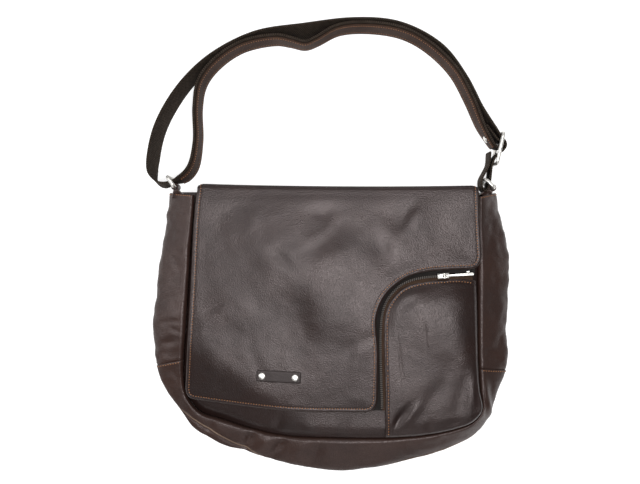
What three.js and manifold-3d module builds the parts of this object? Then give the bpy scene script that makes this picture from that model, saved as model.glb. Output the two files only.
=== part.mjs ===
// Leather messenger bag with a front zip pocket and an adjustable strap, lying on its back.
// Millimetres. Seen from above: +X to the right, +Y towards the strap, +Z up from the table.
// The origin is on the table, under the middle of the bag and its laid-out strap.
import * as THREE from 'three';
import { LoftGeometry } from 'three/addons/geometries/LoftGeometry.js';
import { RoundedBoxGeometry } from 'three/addons/geometries/RoundedBoxGeometry.js';
import { mergeVertices } from 'three/addons/utils/BufferGeometryUtils.js';
import Module from 'manifold-3d';

const wasm = await Module();
wasm.setup();

// Driving dimensions
const leather = 2; // one leather wall
const flapLeather = 3; // two leathers sewn back to back
const gap = 0.4; // between pieces that touch
const front = { left: -160, right: 168, bottom: -215, top: 54 }; // extent of the front panel
const seamHeight = { bottom: 42, top: 50 }; // front seam above the table
const frontCrown = 8; // how far the front panel swells above its seam
const bulgeHeight = 22; // where the gusset reaches furthest out
const footHeight = 0.2; // lower edge of the gusset
const flapLift = { open: 3, overZip: 6, reach: 24 }; // flap above the front panel
const fold = { y: 63.4, sag: 3, middle: 50, halfWidth: 190 }; // the flap's turn over the mouth
const tail = { start: 36, end: 52 }; // flap's tail, sewn inside the top of the back panel
const flapSpan = { left: -164, right: 176, bottom: -200, step: 20 }; // before it is cut to outline
const pocketRise = { edge: 6, puff: 7, shoulder: 0.24 }; // pocket above the front panel
const zipHeight = 5.4; // top of the zip tape above the front panel
const zipTape = 1;
const zipDip = { from: 138, to: 163, share: 0.72 }; // its end sinks towards the side seam
const zipCoil = { width: 3, height: 1.5 };
const slider = { back: -7.5, front: 5, width: 6.2, height: 3.6, wall: 1.2, hinge: 6.2 };
const pull = { length: 32, width: 3, thick: 1.5, eyeOut: 2.3, eyeIn: 1.3, eyeWide: 2.4, bar: 0.8 };
const pullPlace = { x: 127.8, y: -34.4, turn: 4 }; // hinge of the pull, turn in degrees
const strap = { width: 38, webbing: 2, leather: 1.6, leatherWidth: 28 };
const wire = 1.8; // radius of the ring and slide wire
const ring = { halfAlong: 6.2, halfTall: 21.8, corner: 3.5, middle: 24 };
const slide = { along: 35, bar: 13, halfTall: 21.8, corner: 4, middle: 24 };
const tab = { leather: 1.6, tall: 26, low: 8, tongue: 3.4 };
const label = { x: -54, y: -145.3, turn: -2.9, length: 48.5, width: 12.5, thick: 1.5 };
const rivet = { spacing: 36.4, radius: 3.7, height: 1.6 };

// The gusset runs from the top left, round the bottom, to the top right. At each row it leaves the
// back panel at foot, swells out to bulge and is sewn to the front panel at seam.
const gussetRows = [
  { seam: [-147.5, 54.5], bulge: [-176, 57.5], foot: [-170, 57] },
  { seam: [-149, 32.5], bulge: [-180, 33], foot: [-172.5, 33] },
  { seam: [-152, -0.5], bulge: [-186, -0.5], foot: [-177, -0.5] },
  { seam: [-155, -45], bulge: [-190, -45.5], foot: [-179.5, -46] },
  { seam: [-158, -94.5], bulge: [-195, -94], foot: [-181.5, -95] },
  { seam: [-161, -131], bulge: [-192, -133], foot: [-181.5, -134] },
  { seam: [-160.5, -159], bulge: [-182.5, -161.5], foot: [-180, -163] },
  { seam: [-155, -174.5], bulge: [-167, -183.5], foot: [-165, -182] },
  { seam: [-142.5, -188], bulge: [-151, -205.5], foot: [-149.5, -203] },
  { seam: [-119.5, -195.5], bulge: [-120, -224.5], foot: [-119.5, -222] },
  { seam: [-86, -205.5], bulge: [-89.5, -233], foot: [-90, -230.5] },
  { seam: [-47.5, -213], bulge: [-50, -244.5], foot: [-50.5, -238] },
  { seam: [8, -215], bulge: [10.5, -254], foot: [9.5, -243] },
  { seam: [63.5, -215.3], bulge: [68, -247], foot: [67.5, -241] },
  { seam: [107.5, -212], bulge: [113, -235.5], foot: [112.5, -233] },
  { seam: [141, -205.5], bulge: [146.5, -223.5], foot: [145.5, -221.5] },
  { seam: [162, -197], bulge: [172, -206], foot: [170, -204.5] },
  { seam: [172, -182.5], bulge: [186, -184], foot: [183, -184] },
  { seam: [169, -161], bulge: [191.5, -162.5], foot: [187.5, -163] },
  { seam: [167.5, -138], bulge: [200.3, -141], foot: [189.5, -141] },
  { seam: [166.5, -98], bulge: [202, -100], foot: [189.5, -101] },
  { seam: [166, -50.5], bulge: [204.5, -51], foot: [189.5, -52] },
  { seam: [166, -11.5], bulge: [203, -12], foot: [187, -12] },
  { seam: [166, 21.5], bulge: [195.5, 22], foot: [182.5, 22] },
  { seam: [166.5, 52.5], bulge: [187, 57.5], foot: [179, 56.5] },
];
const lastRow = gussetRows.length - 1;
const sideSeams = { left: 5, right: 19 }; // rows where the side gussets meet the bottom one
const frontCorners = { left: 7.4, right: 16.6 }; // rows at the corners of the front panel
const mouth = { left: 0.22, right: 23.83 }; // rows at the ends of the front panel's upper edge
const seamGap = 0.012; // in rows

// Dents and ridges of the flap: middle, direction, half length, half width and depth.
const flapDents = [
  { x: -55, y: -13, turn: -43, long: 20, wide: 7, deep: -1.6 },
  { x: -9, y: -1, turn: 34, long: 40, wide: 10, deep: 1.6 },
  { x: 26, y: 32, turn: 60, long: 14, wide: 10, deep: -1.5 },
  { x: 46, y: 40, turn: 10, long: 18, wide: 7, deep: 1 },
  { x: 93, y: 36, turn: 61, long: 24, wide: 10, deep: -1.6 },
  { x: -39, y: -62, turn: 82, long: 32, wide: 20, deep: -1.6 },
  { x: -146, y: -160, turn: 40, long: 44, wide: 30, deep: -2 },
];

// Outline of the flap seen from above, from its top left corner round to its top right one.
const flapEdge = {
  top: 80,
  left: [{ x: -143, y: 62 }, { x: -146, y: 32 }, { x: -151, y: -61 }, { x: -157.5, y: -158 }],
  lowerLeft: { x: -158.5, y: -171.5 },
  bottom: [{ x: -146, y: -172 }, { x: -85, y: -179 }, { x: -30, y: -183.5 }, { x: 40, y: -184.5 }],
  lowerRight: { x: 54, y: -184.5 },
  sweep: [
    { x: 54, y: -168 },
    { x: 54.5, y: -116 },
    { x: 52.5, y: -82 },
    { x: 58, y: -63 },
    { x: 67, y: -50 },
    { x: 80, y: -39.5 },
    { x: 93, y: -33 },
    { x: 110.5, y: -29 },
    { x: 128, y: -27.5 },
    { x: 156, y: -26.5 },
  ],
  upperRight: { x: 168.5, y: -26 },
  right: [{ x: 168.5, y: -10.5 }, { x: 166.5, y: 27 }, { x: 165.5, y: 62 }],
};

// Line of the zip coil, from its end near the bottom to the stop at the side seam.
const zipRows = [
  { x: 60, y: -182.5 },
  { x: 58.3, y: -137.5 },
  { x: 57.7, y: -105 },
  { x: 59, y: -80.5 },
  { x: 62, y: -67.5 },
  { x: 67.3, y: -57.5 },
  { x: 80, y: -44.5 },
  { x: 93, y: -38.8 },
  { x: 106.3, y: -36.2 },
  { x: 127.8, y: -34.4 },
  { x: 145, y: -33.4 },
  { x: 162, y: -33.2 },
];
const coilEnd = 0.795; // share of the zip that is closed

// Upper edge of the pocket panel, along the zip.
const pocketEdgeRows = [
  { x: 64, y: -214 },
  { x: 63.4, y: -170 },
  { x: 61.8, y: -105 },
  { x: 62.6, y: -80 },
  { x: 65.7, y: -68 },
  { x: 70.6, y: -59.5 },
  { x: 81, y: -48.6 },
  { x: 94, y: -42.8 },
  { x: 107, y: -40.2 },
  { x: 128, y: -38.4 },
  { x: 145, y: -37.6 },
  { x: 163.5, y: -40 },
];
const pocketCorner = 5; // row of the pocket's upper left corner

// Route of the strap's middle line: from the tail sewn back at the right ring, through the slide, over
// the arch to the left ring, and back under itself to the slide's bar. Lean is the top edge's tilt to
// the right of travel in degrees, lift the lower edge above the table.
const strapRows = [
  { x: 180.4, y: 102.5, lean: 0, lift: 4.7 },
  { x: 179.2, y: 89, lean: 0, lift: 4.7 },
  { x: 174.6, y: 79.6, lean: 0, lift: 4.7 },
  { x: 171.2, y: 72.5, lean: 0, lift: 4.7 },
  { x: 171.4, y: 64, lean: 0, lift: 4.7 },
  { x: 175.2, y: 59.4, lean: 0, lift: 4.7 },
  { x: 178.8, y: 64.6, lean: 0, lift: 4.7 },
  { x: 180.2, y: 70, lean: 0, lift: 4.7 },
  { x: 181.2, y: 78, lean: 0, lift: 4.7 },
  { x: 182.8, y: 89.5, lean: 0, lift: 4.7 },
  { x: 188.6, y: 100, lean: 0, lift: 4.7 },
  { x: 195.4, y: 105, lean: 0, lift: 4.7 },
  { x: 197.9, y: 110, lean: 0, lift: 4.7 },
  { x: 197.2, y: 114.4, lean: 0, lift: 4.7 },
  { x: 193.6, y: 118.7, lean: 0, lift: 4.7 },
  { x: 190.1, y: 123.2, lean: 2, lift: 4.7 },
  { x: 185, y: 129.4, lean: 6, lift: 4 },
  { x: 170.3, y: 150, lean: 11, lift: 2 },
  { x: 152, y: 185.6, lean: 11, lift: 0.3 },
  { x: 125, y: 219.8, lean: 12, lift: 0.3 },
  { x: 79.5, y: 243.6, lean: 13, lift: 0.3 },
  { x: 27.5, y: 248, lean: 13, lift: 0.3 },
  { x: -26, y: 240.6, lean: 18, lift: 0.3 },
  { x: -78, y: 233.8, lean: 13, lift: 0.3 },
  { x: -125.5, y: 210.8, lean: 13, lift: 0.3 },
  { x: -155.7, y: 184, lean: 14, lift: 0.3 },
  { x: -177.5, y: 153.5, lean: 15, lift: 0.3 },
  { x: -190, y: 126.5, lean: 15, lift: 0.3 },
  { x: -196, y: 99.5, lean: 15, lift: 0.3 },
  { x: -197, y: 82, lean: 11, lift: 0.5 },
  { x: -192, y: 70, lean: -4, lift: 1.5 },
  { x: -184, y: 66.6, lean: -7, lift: 3 },
  { x: -173.6, y: 69.4, lean: -3, lift: 4.7 },
  { x: -164.5, y: 73.2, lean: -10, lift: 3.4 },
  { x: -158, y: 77.6, lean: -13, lift: 1.8 },
  { x: -151, y: 88, lean: -13, lift: 0.3 },
  { x: -146, y: 117, lean: -10, lift: 0.3 },
  { x: -146.5, y: 153.5, lean: -10, lift: 0.3 },
  { x: -142, y: 180, lean: -12, lift: 0.3 },
  { x: -127.5, y: 201, lean: -13, lift: 0.3 },
  { x: -97.5, y: 222, lean: -13, lift: 0.3 },
  { x: -58, y: 230.4, lean: -12, lift: 0.3 },
  { x: -41, y: 227.8, lean: -10, lift: 0.3 },
  { x: -25, y: 224.2, lean: -8, lift: 0.3 },
  { x: -13, y: 228.6, lean: -9, lift: 0.3 },
  { x: 10.5, y: 241, lean: -12, lift: 0.3 },
  { x: 41, y: 244.4, lean: -13, lift: 0.3 },
  { x: 84, y: 238.2, lean: -13, lift: 0.3 },
  { x: 113.7, y: 222.2, lean: -12, lift: 0.3 },
  { x: 142, y: 194.7, lean: -12, lift: 0.3 },
  { x: 158.7, y: 164.6, lean: -12, lift: 1.2 },
  { x: 172.2, y: 132.2, lean: -8, lift: 4 },
  { x: 179, y: 120.2, lean: -4, lift: 4.7 },
  { x: 186, y: 109.8, lean: -1, lift: 4.7 },
  { x: 190, y: 107.7, lean: 0, lift: 4.7 },
  { x: 194.2, y: 108.6, lean: 0, lift: 4.7 },
  { x: 195.3, y: 112, lean: 0, lift: 4.7 },
  { x: 192.8, y: 114.7, lean: 0, lift: 4.7 },
  { x: 189.2, y: 116.6, lean: 0, lift: 4.7 },
  { x: 184.4, y: 122, lean: 1, lift: 4.7 },
  { x: 180.2, y: 126.6, lean: 2, lift: 4.7 },
  { x: 176.6, y: 132, lean: 2, lift: 4.7 },
];
const strapLeatherSpan = { from: 33, to: 53 }; // rows between which the webbing carries leather
const strapRivetRow = 52.1; // row of the rivet, in the middle of the leather's width

const leftRing = { x: -173.8, y: 69.6, turn: -57.3 }; // turn of the ring's flat, towards the bag
const rightRing = { x: 179.5, y: 67.5, turn: -45 };
const leftTongue = { x: -166.2, y: 47 }; // end of the ring tab inside the gusset
const rightTongue = { x: 175.2, y: 46 };
const slideTop = { x: 194.6, y: 123.9, turn: -102 };

// Helpers
const { degToRad, lerp, mapLinear } = THREE.MathUtils;
const point = (x, y, z = 0) => new THREE.Vector3(x, y, z);
const curveThrough = (rows) => new THREE.CatmullRomCurve3(rows.map(({ x, y }) => point(x, y)));
const heading = (degrees) => point(Math.cos(degToRad(degrees)), Math.sin(degToRad(degrees)));

function finish(colour, roughness, metalness = 0) {
  return () => new THREE.MeshStandardMaterial({ color: colour, roughness, metalness });
}
const finishes = {
  leather: finish(0x453937, 0.5),
  webbing: finish(0x2c2420, 0.9),
  tape: finish(0x4a3527, 0.9),
  coil: finish(0x241c18, 0.6),
  nickel: finish(0xc8c5bf, 0.25, 1),
};

const bag = new THREE.Group();
function piece(name, geometry, finishOf, parent = bag) {
  const mesh = new THREE.Mesh(geometry, finishOf());
  mesh.name = name;
  parent.add(mesh);
  return mesh;
}

function volume(geometry) {
  const corners = geometry.index ? geometry.toNonIndexed() : geometry;
  const at = corners.getAttribute('position');
  const [a, b, c] = [point(0, 0), point(0, 0), point(0, 0)];
  let sum = 0;
  for (let i = 0; i < at.count; i += 3) {
    a.fromBufferAttribute(at, i);
    b.fromBufferAttribute(at, i + 1);
    c.fromBufferAttribute(at, i + 2);
    sum += a.dot(b.cross(c));
  }
  return sum;
}

// Skin through equal sections; a hoop's last section meets its first.
function loft(sections, hoop = false) {
  const options = { closed: true, capStart: !hoop, capEnd: !hoop };
  const geometry = new LoftGeometry(sections, options);
  return volume(geometry) > 0 ? geometry : new LoftGeometry([...sections].reverse(), options);
}

function solid(geometry) {
  const bare = new THREE.BufferGeometry().setAttribute('position', geometry.getAttribute('position'));
  const merged = mergeVertices(bare.setIndex(geometry.index), 1e-4);
  return new wasm.Manifold(
    new wasm.Mesh({
      numProp: 3,
      vertProperties: merged.getAttribute('position').array,
      triVerts: new Uint32Array(merged.index.array),
    }),
  );
}

function surface(body) {
  const mesh = body.getMesh();
  return new THREE.BufferGeometry()
    .setAttribute('position', new THREE.BufferAttribute(mesh.vertProperties, mesh.numProp))
    .setIndex(new THREE.BufferAttribute(mesh.triVerts, 1));
}

const joined = (...shapes) => surface(shapes.map(solid).reduce((whole, next) => whole.add(next)));

// A wall whose rows are lists of points on its upper face, thick below it.
function wall(rows, thick) {
  const section = (row) => [...row, ...row.map(({ x, y, z }) => point(x, y, z - thick)).reverse()];
  return loft(rows.map(section));
}

// Four-sided patch between curves that share their corners.
function patch(left, right, bottom, top, across, up) {
  const [low, high] = [bottom(across), top(across)];
  const [start, end] = [left(up), right(up)];
  const corners = bottom(0).clone().lerp(bottom(1), across);
  corners.lerp(top(0).clone().lerp(top(1), across), up);
  return low.clone().lerp(high, up).add(start.clone().lerp(end, across)).sub(corners);
}

// Height of the front panel's outer face
function frontHeight(x, y) {
  const across = (2 * x - front.left - front.right) / (front.right - front.left);
  const up = (2 * y - front.bottom - front.top) / (front.top - front.bottom);
  const swell = Math.max(0, 1 - across ** 2) * Math.max(0, 1 - up ** 2);
  return mapLinear(up, -1, 1, seamHeight.bottom, seamHeight.top) + frontCrown * swell;
}

const [seamLine, bulgeLine, footLine] = ['seam', 'bulge', 'foot'].map((line) =>
  curveThrough(gussetRows.map((row) => ({ x: row[line][0], y: row[line][1] }))),
);
const onLine = (line, row) => line.getPoint(row / lastRow);

// Section of the gusset: two quarter ellipses, foot to bulge and bulge to seam.
function gussetSection(row) {
  const arcSteps = 8;
  const [seam, bulge, foot] = [seamLine, bulgeLine, footLine].map((line) => onLine(line, row));
  seam.z = frontHeight(seam.x, seam.y);
  foot.z = footHeight;
  const outward = bulge.clone().sub(seam).setZ(0).normalize();
  const outer = [];
  const inner = [];
  for (let i = 0; i <= arcSteps; i++) {
    const turn = (Math.PI * i) / arcSteps;
    const end = 2 * i <= arcSteps ? foot : seam;
    const reach = Math.hypot(bulge.x - end.x, bulge.y - end.y) * Math.cos(turn);
    const climb = Math.abs(bulgeHeight - end.z) * Math.sin(turn);
    const on = end.clone().lerp(bulge, Math.sin(turn));
    on.z = lerp(bulgeHeight, end.z, Math.abs(Math.cos(turn)));
    outer.push(on);
    const depth = leather / Math.hypot(reach, climb);
    inner.push(on.clone().addScaledVector(outward, -climb * depth).setZ(on.z + reach * depth));
  }
  return [...outer, ...inner.reverse()];
}

function gusset(from, to) {
  const steps = Math.round((to - from) * 2);
  return loft(Array.from({ length: steps + 1 }, (_, i) => gussetSection(lerp(from, to, i / steps))));
}

function backPanel() {
  const foot = footLine.getPoints(lastRow * 2);
  const middle = point(5, -80);
  const edge = foot.map((on) => on.clone().addScaledVector(on.clone().sub(middle).normalize(), -gap));
  const outline = new THREE.Shape(edge.map(({ x, y }) => new THREE.Vector2(x, y)));
  return new THREE.ExtrudeGeometry(outline, { depth: leather, bevelEnabled: false });
}

// A point of the front seam, drawn in so that it clears the gusset.
function insideSeam(row, clear) {
  const on = onLine(seamLine, row);
  const inward = point(5, -80).sub(on).normalize();
  return on.addScaledVector(inward, clear);
}

function frontPanel() {
  const cells = { across: 16, up: 12 };
  const clear = 2 * gap;
  const left = (t) => insideSeam(lerp(frontCorners.left, mouth.left, t), clear);
  const right = (t) => insideSeam(lerp(frontCorners.right, mouth.right, t), clear);
  const bottom = (s) => insideSeam(lerp(frontCorners.left, frontCorners.right, s), clear);
  const top = (s) => left(1).lerp(right(1), s);
  const rows = [];
  for (let j = 0; j <= cells.up; j++) {
    const row = [];
    for (let i = 0; i <= cells.across; i++) {
      const on = patch(left, right, bottom, top, i / cells.across, j / cells.up);
      row.push(on.setZ(frontHeight(on.x, on.y)));
    }
    rows.push(row);
  }
  return wall(rows, leather);
}

const zipLine = curveThrough(zipRows);
const zipSamples = zipLine.getPoints(60);
const fromZip = (x, y) => Math.min(...zipSamples.map((on) => Math.hypot(on.x - x, on.y - y)));

// Height of the middle of the flap's leather
function flapHeight(x, y) {
  const nearZip = Math.exp(-((fromZip(x, y) / flapLift.reach) ** 2));
  let lift = lerp(flapLift.open, flapLift.overZip, nearZip);
  for (const dent of flapDents) {
    const along = heading(dent.turn);
    const [dx, dy] = [x - dent.x, y - dent.y];
    const [far, side] = [dx * along.x + dy * along.y, dy * along.x - dx * along.y];
    lift += dent.deep * Math.exp(-((far / dent.long) ** 2) - (side / dent.wide) ** 2);
  }
  return frontHeight(x, y) + Math.max(lift, 2 * gap) + flapLeather / 2;
}

// Section of the flap at one x: tail, turn over the mouth, then down the front.
function flapSection(x) {
  const top = fold.y + fold.sag * ((x - fold.middle) / fold.halfWidth) ** 2;
  const low = leather + 1.5 * gap + flapLeather / 2;
  const brow = flapHeight(x, top - 19);
  const turn = new THREE.CatmullRomCurve3([
    point(x, tail.start, low),
    point(x, tail.end, low),
    point(x, top - 6.5, low + 2.5),
    point(x, top - 2.2, 15),
    point(x, top - 1.5, 28),
    point(x, top - 2.6, brow - 14),
    point(x, top - 8, brow - 4),
    point(x, top - 19, brow),
  ]);
  const middle = turn.getPoints(14);
  const rows = 16;
  for (let i = 1; i <= rows; i++) {
    const y = lerp(top - 19, flapSpan.bottom, i / rows);
    middle.push(point(x, y, flapHeight(x, y)));
  }
  const outer = [];
  const inner = [];
  middle.forEach((on, i) => {
    const before = middle[Math.max(i - 1, 0)];
    const after = middle[Math.min(i + 1, middle.length - 1)];
    const along = after.clone().sub(before).normalize();
    const normal = point(0, along.z, -along.y).multiplyScalar(flapLeather / 2);
    outer.push(on.clone().add(normal));
    inner.push(on.clone().sub(normal));
  });
  return [...outer, ...inner.reverse()];
}

function flapOutline() {
  const outline = new THREE.Shape();
  const run = (rows) => outline.splineThru(rows.map(({ x, y }) => new THREE.Vector2(x, y)));
  const corner = (at, to) => outline.quadraticCurveTo(at.x, at.y, to.x, to.y);
  const { top, left, lowerLeft, bottom, lowerRight, sweep, upperRight, right } = flapEdge;
  outline.moveTo(left[0].x, top);
  outline.lineTo(left[0].x, left[0].y);
  run(left.slice(1));
  corner(lowerLeft, bottom[0]);
  run(bottom.slice(1));
  corner(lowerRight, sweep[0]);
  run(sweep.slice(1));
  corner(upperRight, right[0]);
  run(right.slice(1));
  outline.lineTo(right[2].x, top);
  return outline;
}

function flap() {
  const columns = Math.round((flapSpan.right - flapSpan.left) / flapSpan.step);
  const sections = Array.from({ length: columns + 1 }, (_, i) =>
    flapSection(lerp(flapSpan.left, flapSpan.right, i / columns)),
  );
  const depth = 120;
  const cutter = new THREE.ExtrudeGeometry(flapOutline(), {
    depth,
    curveSegments: 5,
    bevelEnabled: false,
  });
  return surface(solid(loft(sections)).intersect(solid(cutter)));
}

// Rise of the pocket panel, steep at the side and bottom seams, by its place across and up.
function pocketSwell(across, up) {
  const shoulder = (share) => Math.sqrt(1 - (1 - Math.min(share / pocketRise.shoulder, 1)) ** 2);
  const crown = Math.sin(Math.PI * across ** 0.8) * Math.sin(Math.PI * up ** 1.2);
  return shoulder(1 - across) * shoulder(up) * (pocketRise.edge + pocketRise.puff * crown);
}

function pocketPanel() {
  const cells = { across: 14, up: 14 };
  const edge = curveThrough(pocketEdgeRows);
  const corner = pocketCorner / (pocketEdgeRows.length - 1);
  const sideRow = 21.3; // where the zip's end meets the side seam
  const footRow = 13;
  const clear = 1;
  const left = (t) => edge.getPoint(lerp(0, corner, t));
  const top = (s) => edge.getPoint(lerp(corner, 1, s));
  const right = (t) =>
    t > 0.999 ? edge.getPoint(1) : insideSeam(lerp(frontCorners.right, sideRow, t), clear);
  const bottom = (s) =>
    s < 0.001 ? edge.getPoint(0) : insideSeam(lerp(footRow, frontCorners.right, s), clear);
  const rows = [];
  for (let j = 0; j <= cells.up; j++) {
    const row = [];
    for (let i = 0; i <= cells.across; i++) {
      const [across, up] = [i / cells.across, j / cells.up];
      const on = patch(left, right, bottom, top, across, up);
      const rise = gap + leather + pocketSwell(across, up);
      row.push(on.setZ(frontHeight(on.x, on.y) + rise));
    }
    rows.push(row);
  }
  return wall(rows, leather);
}

// How much of its height the zip keeps at one x
function zipStand(x) {
  return 1 - zipDip.share * THREE.MathUtils.smoothstep(x, zipDip.from, zipDip.to);
}

// Strip along the zip. Profile rows give the distance from the zip, towards the pocket, and the upper
// and lower face above the front panel.
function zipStrip(from, to, steps, profile) {
  const section = (share) => {
    const [on, along] = [zipLine.getPoint(share), zipLine.getTangent(share)];
    const at = (side, height) => {
      const [x, y] = [on.x + along.y * side, on.y - along.x * side];
      return point(x, y, frontHeight(x, y) + gap + (height - gap) * zipStand(x));
    };
    const upper = profile.map(({ side, high }) => at(side, high));
    const lower = profile.map(({ side, low }) => at(side, low));
    return [...upper, ...lower.reverse()];
  };
  return loft(Array.from({ length: steps + 1 }, (_, i) => section(lerp(from, to, i / steps))));
}

const tapeRow = (side, high) => ({ side, high, low: high - zipTape });
const flapTape = [tapeRow(-11, gap + zipTape), tapeRow(-6, zipHeight - 0.6), tapeRow(-gap, zipHeight)];
const pocketTape = [tapeRow(gap, zipHeight), tapeRow(4, zipHeight + 0.3), tapeRow(8, zipHeight + 0.5)];
const coilLow = zipHeight + gap;
const coilProfile = [
  { side: -zipCoil.width / 2, high: coilLow + zipCoil.height * 0.5, low: coilLow },
  { side: 0, high: coilLow + zipCoil.height, low: coilLow },
  { side: zipCoil.width / 2, high: coilLow + zipCoil.height * 0.5, low: coilLow },
];

// Slider and pull, about the hinge: x along the zip, y across it.
function sliderBody() {
  const { back, front: nose, width, height, wall: side, hinge } = slider;
  const [half, base] = [width / 2, -hinge];
  const arch = new THREE.Shape();
  arch.moveTo(-half, base);
  arch.lineTo(-half, base + height - 1);
  arch.lineTo(-half + 1, base + height);
  arch.lineTo(half - 1, base + height);
  arch.lineTo(half, base + height - 1);
  arch.lineTo(half, base);
  arch.lineTo(half - side, base);
  arch.lineTo(half - side, base + height - side);
  arch.lineTo(side - half, base + height - side);
  arch.lineTo(side - half, base);
  const shell = new THREE.ExtrudeGeometry(arch, { depth: nose - back, bevelEnabled: false });
  shell.applyMatrix4(new THREE.Matrix4().makeBasis(point(0, 1), point(0, 0, 1), point(1, 0)));
  shell.translate(back, 0, 0);
  const postWide = 1.2;
  const postAt = pull.eyeWide / 2 + gap + postWide / 2;
  const postTop = 1.1;
  const postTall = postTop + hinge - height + 0.5;
  const posts = [-1, 1].map((hand) =>
    new THREE.BoxGeometry(2.2, postWide, postTall).translate(0, hand * postAt, postTop - postTall / 2),
  );
  const bar = new THREE.CylinderGeometry(pull.bar, pull.bar, 2 * postAt, 12);
  return joined(shell, ...posts, bar);
}

function pullBar() {
  const { length, width, thick, eyeOut, eyeIn, eyeWide } = pull;
  const eye = new THREE.Shape();
  eye.absarc(0, 0, eyeOut, 0, 2 * Math.PI);
  eye.holes.push(new THREE.Path().absarc(0, 0, eyeIn, 0, 2 * Math.PI, true));
  const hoop = new THREE.ExtrudeGeometry(eye, { depth: eyeWide, curveSegments: 10, bevelEnabled: false });
  hoop.rotateX(Math.PI / 2).translate(0, eyeWide / 2, 0);
  const neck = 0.7;
  const blade = new THREE.Shape();
  blade.moveTo(eyeIn + 0.5, -neck);
  blade.lineTo(8, -width * 0.36);
  blade.lineTo(length - width / 2, -width / 2);
  blade.absarc(length - width / 2, 0, width / 2, -Math.PI / 2, Math.PI / 2);
  blade.lineTo(8, width * 0.36);
  blade.lineTo(eyeIn + 0.5, neck);
  const arm = new THREE.ExtrudeGeometry(blade, { depth: thick, curveSegments: 8, bevelEnabled: false });
  arm.translate(0, 0, -eyeOut + 0.1);
  return joined(hoop, arm);
}

// A thin patch that follows the flap, by its place along and across the label.
function onFlap(along, across) {
  const direction = heading(label.turn);
  const x = label.x + along * direction.x - across * direction.y;
  const y = label.y + along * direction.y + across * direction.x;
  return point(x, y, flapHeight(x, y) + flapLeather / 2);
}

function labelPatch() {
  const cells = 8;
  const rise = gap + label.thick;
  const row = (across) =>
    Array.from({ length: cells + 1 }, (_, i) => {
      const on = onFlap(label.length * (i / cells - 0.5), across * label.width);
      return on.setZ(on.z + rise);
    });
  return wall([row(-0.5), row(0), row(0.5)], label.thick);
}

function dome(radius, height) {
  const profile = [new THREE.Vector2(0, 0), new THREE.Vector2(radius, 0)];
  for (let i = 1; i <= 4; i++) {
    const turn = (Math.PI / 2) * (i / 4);
    const level = height * (0.3 + 0.7 * Math.sin(turn));
    profile.push(new THREE.Vector2(i < 4 ? radius * Math.cos(turn) : 0, level));
  }
  return new THREE.LatheGeometry(profile, 16).rotateX(Math.PI / 2);
}

// Frames along the strap: middle, width direction (up) and the face to the right of travel.
const strapLine = curveThrough(strapRows);
const strapPose = new THREE.CatmullRomCurve3(strapRows.map(({ lean, lift }) => point(lean, lift)));
const lastStrapRow = strapRows.length - 1;

function strapFrame(row) {
  const share = row / lastStrapRow;
  const [middle, along] = [strapLine.getPoint(share), strapLine.getTangent(share)];
  const { x: lean, y: lift } = strapPose.getPoint(share);
  const right = point(along.y, -along.x).normalize();
  const [rise, slope] = [Math.cos(degToRad(lean)), Math.sin(degToRad(lean))];
  const width = right.clone().multiplyScalar(slope).setZ(rise);
  const face = right.clone().multiplyScalar(rise).setZ(-slope);
  middle.z = lift + (strap.width / 2) * rise + (strap.webbing / 2) * Math.abs(slope);
  return { middle, width, face };
}

// Rows between two ends, closer together where the strap turns or changes its lean.
function strapSteps(from, to) {
  const most = { length: 26, turn: degToRad(20), lean: 1 };
  const rows = [from];
  for (let row = from; row < to - 1e-6; ) {
    const next = Math.min(Math.floor(row + 1 + 1e-6), to);
    const [a, b] = [row, next].map((r) => strapLine.getTangent(r / lastStrapRow));
    const ends = [row, next].map((r) => strapLine.getPoint(r / lastStrapRow));
    const leans = [row, next].map((r) => strapPose.getPoint(r / lastStrapRow).x);
    const count = Math.ceil(
      Math.max(
        ends[0].distanceTo(ends[1]) / most.length,
        a.angleTo(b) / most.turn,
        Math.abs(leans[0] - leans[1]) / most.lean,
      ),
    );
    for (let i = 1; i <= count; i++) rows.push(lerp(row, next, i / count));
    row = next;
  }
  return rows;
}

function ribbon(from, to, width, thick, offset) {
  const corners = [[-1, -1], [1, -1], [1, 1], [-1, 1]];
  const section = (row) => {
    const { middle, width: up, face } = strapFrame(row);
    return corners.map(([high, side]) =>
      middle
        .clone()
        .addScaledVector(up, (high * width) / 2)
        .addScaledVector(face, offset + (side * thick) / 2),
    );
  };
  return loft(strapSteps(from, to).map(section));
}

const strapLeatherOffset = strap.webbing / 2 + gap + strap.leather / 2;

function rivetOnStrap() {
  const { middle, width, face } = strapFrame(strapRivetRow);
  const seat = strapLeatherOffset + strap.leather / 2 + gap;
  const head = dome(rivet.radius, rivet.height);
  head.applyMatrix4(new THREE.Matrix4().makeBasis(width, face.clone().cross(width), face));
  const place = middle.addScaledVector(face, seat);
  return head.translate(place.x, place.y, place.z);
}

// Wire hoop: a rounded rectangle standing on edge, its flat along one heading.
function wireHoop(centre, direction, halfAlong, halfTall, corner) {
  const [sides, turns] = [8, 4];
  const normal = point(-direction.y, direction.x);
  const sections = [];
  for (let i = 0; i <= 4 * (turns + 1); i++) {
    const quarter = Math.floor(i / (turns + 1)) % 4;
    const angle = (Math.PI / 2) * (quarter + (i % (turns + 1)) / turns);
    const out = direction.clone().multiplyScalar(Math.cos(angle)).setZ(Math.sin(angle));
    const reach = quarter === 0 || quarter === 3 ? 1 : -1;
    const climb = quarter < 2 ? 1 : -1;
    const on = centre.clone().addScaledVector(direction, reach * (halfAlong - corner));
    on.z += climb * (halfTall - corner);
    on.addScaledVector(out, corner);
    const section = [];
    for (let k = 0; k < sides; k++) {
      const roll = (2 * Math.PI * k) / sides;
      const rim = out.clone().multiplyScalar(Math.cos(roll)).addScaledVector(normal, Math.sin(roll));
      section.push(on.clone().addScaledVector(rim, wire));
    }
    sections.push(section);
  }
  return loft(sections, true);
}

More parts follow.
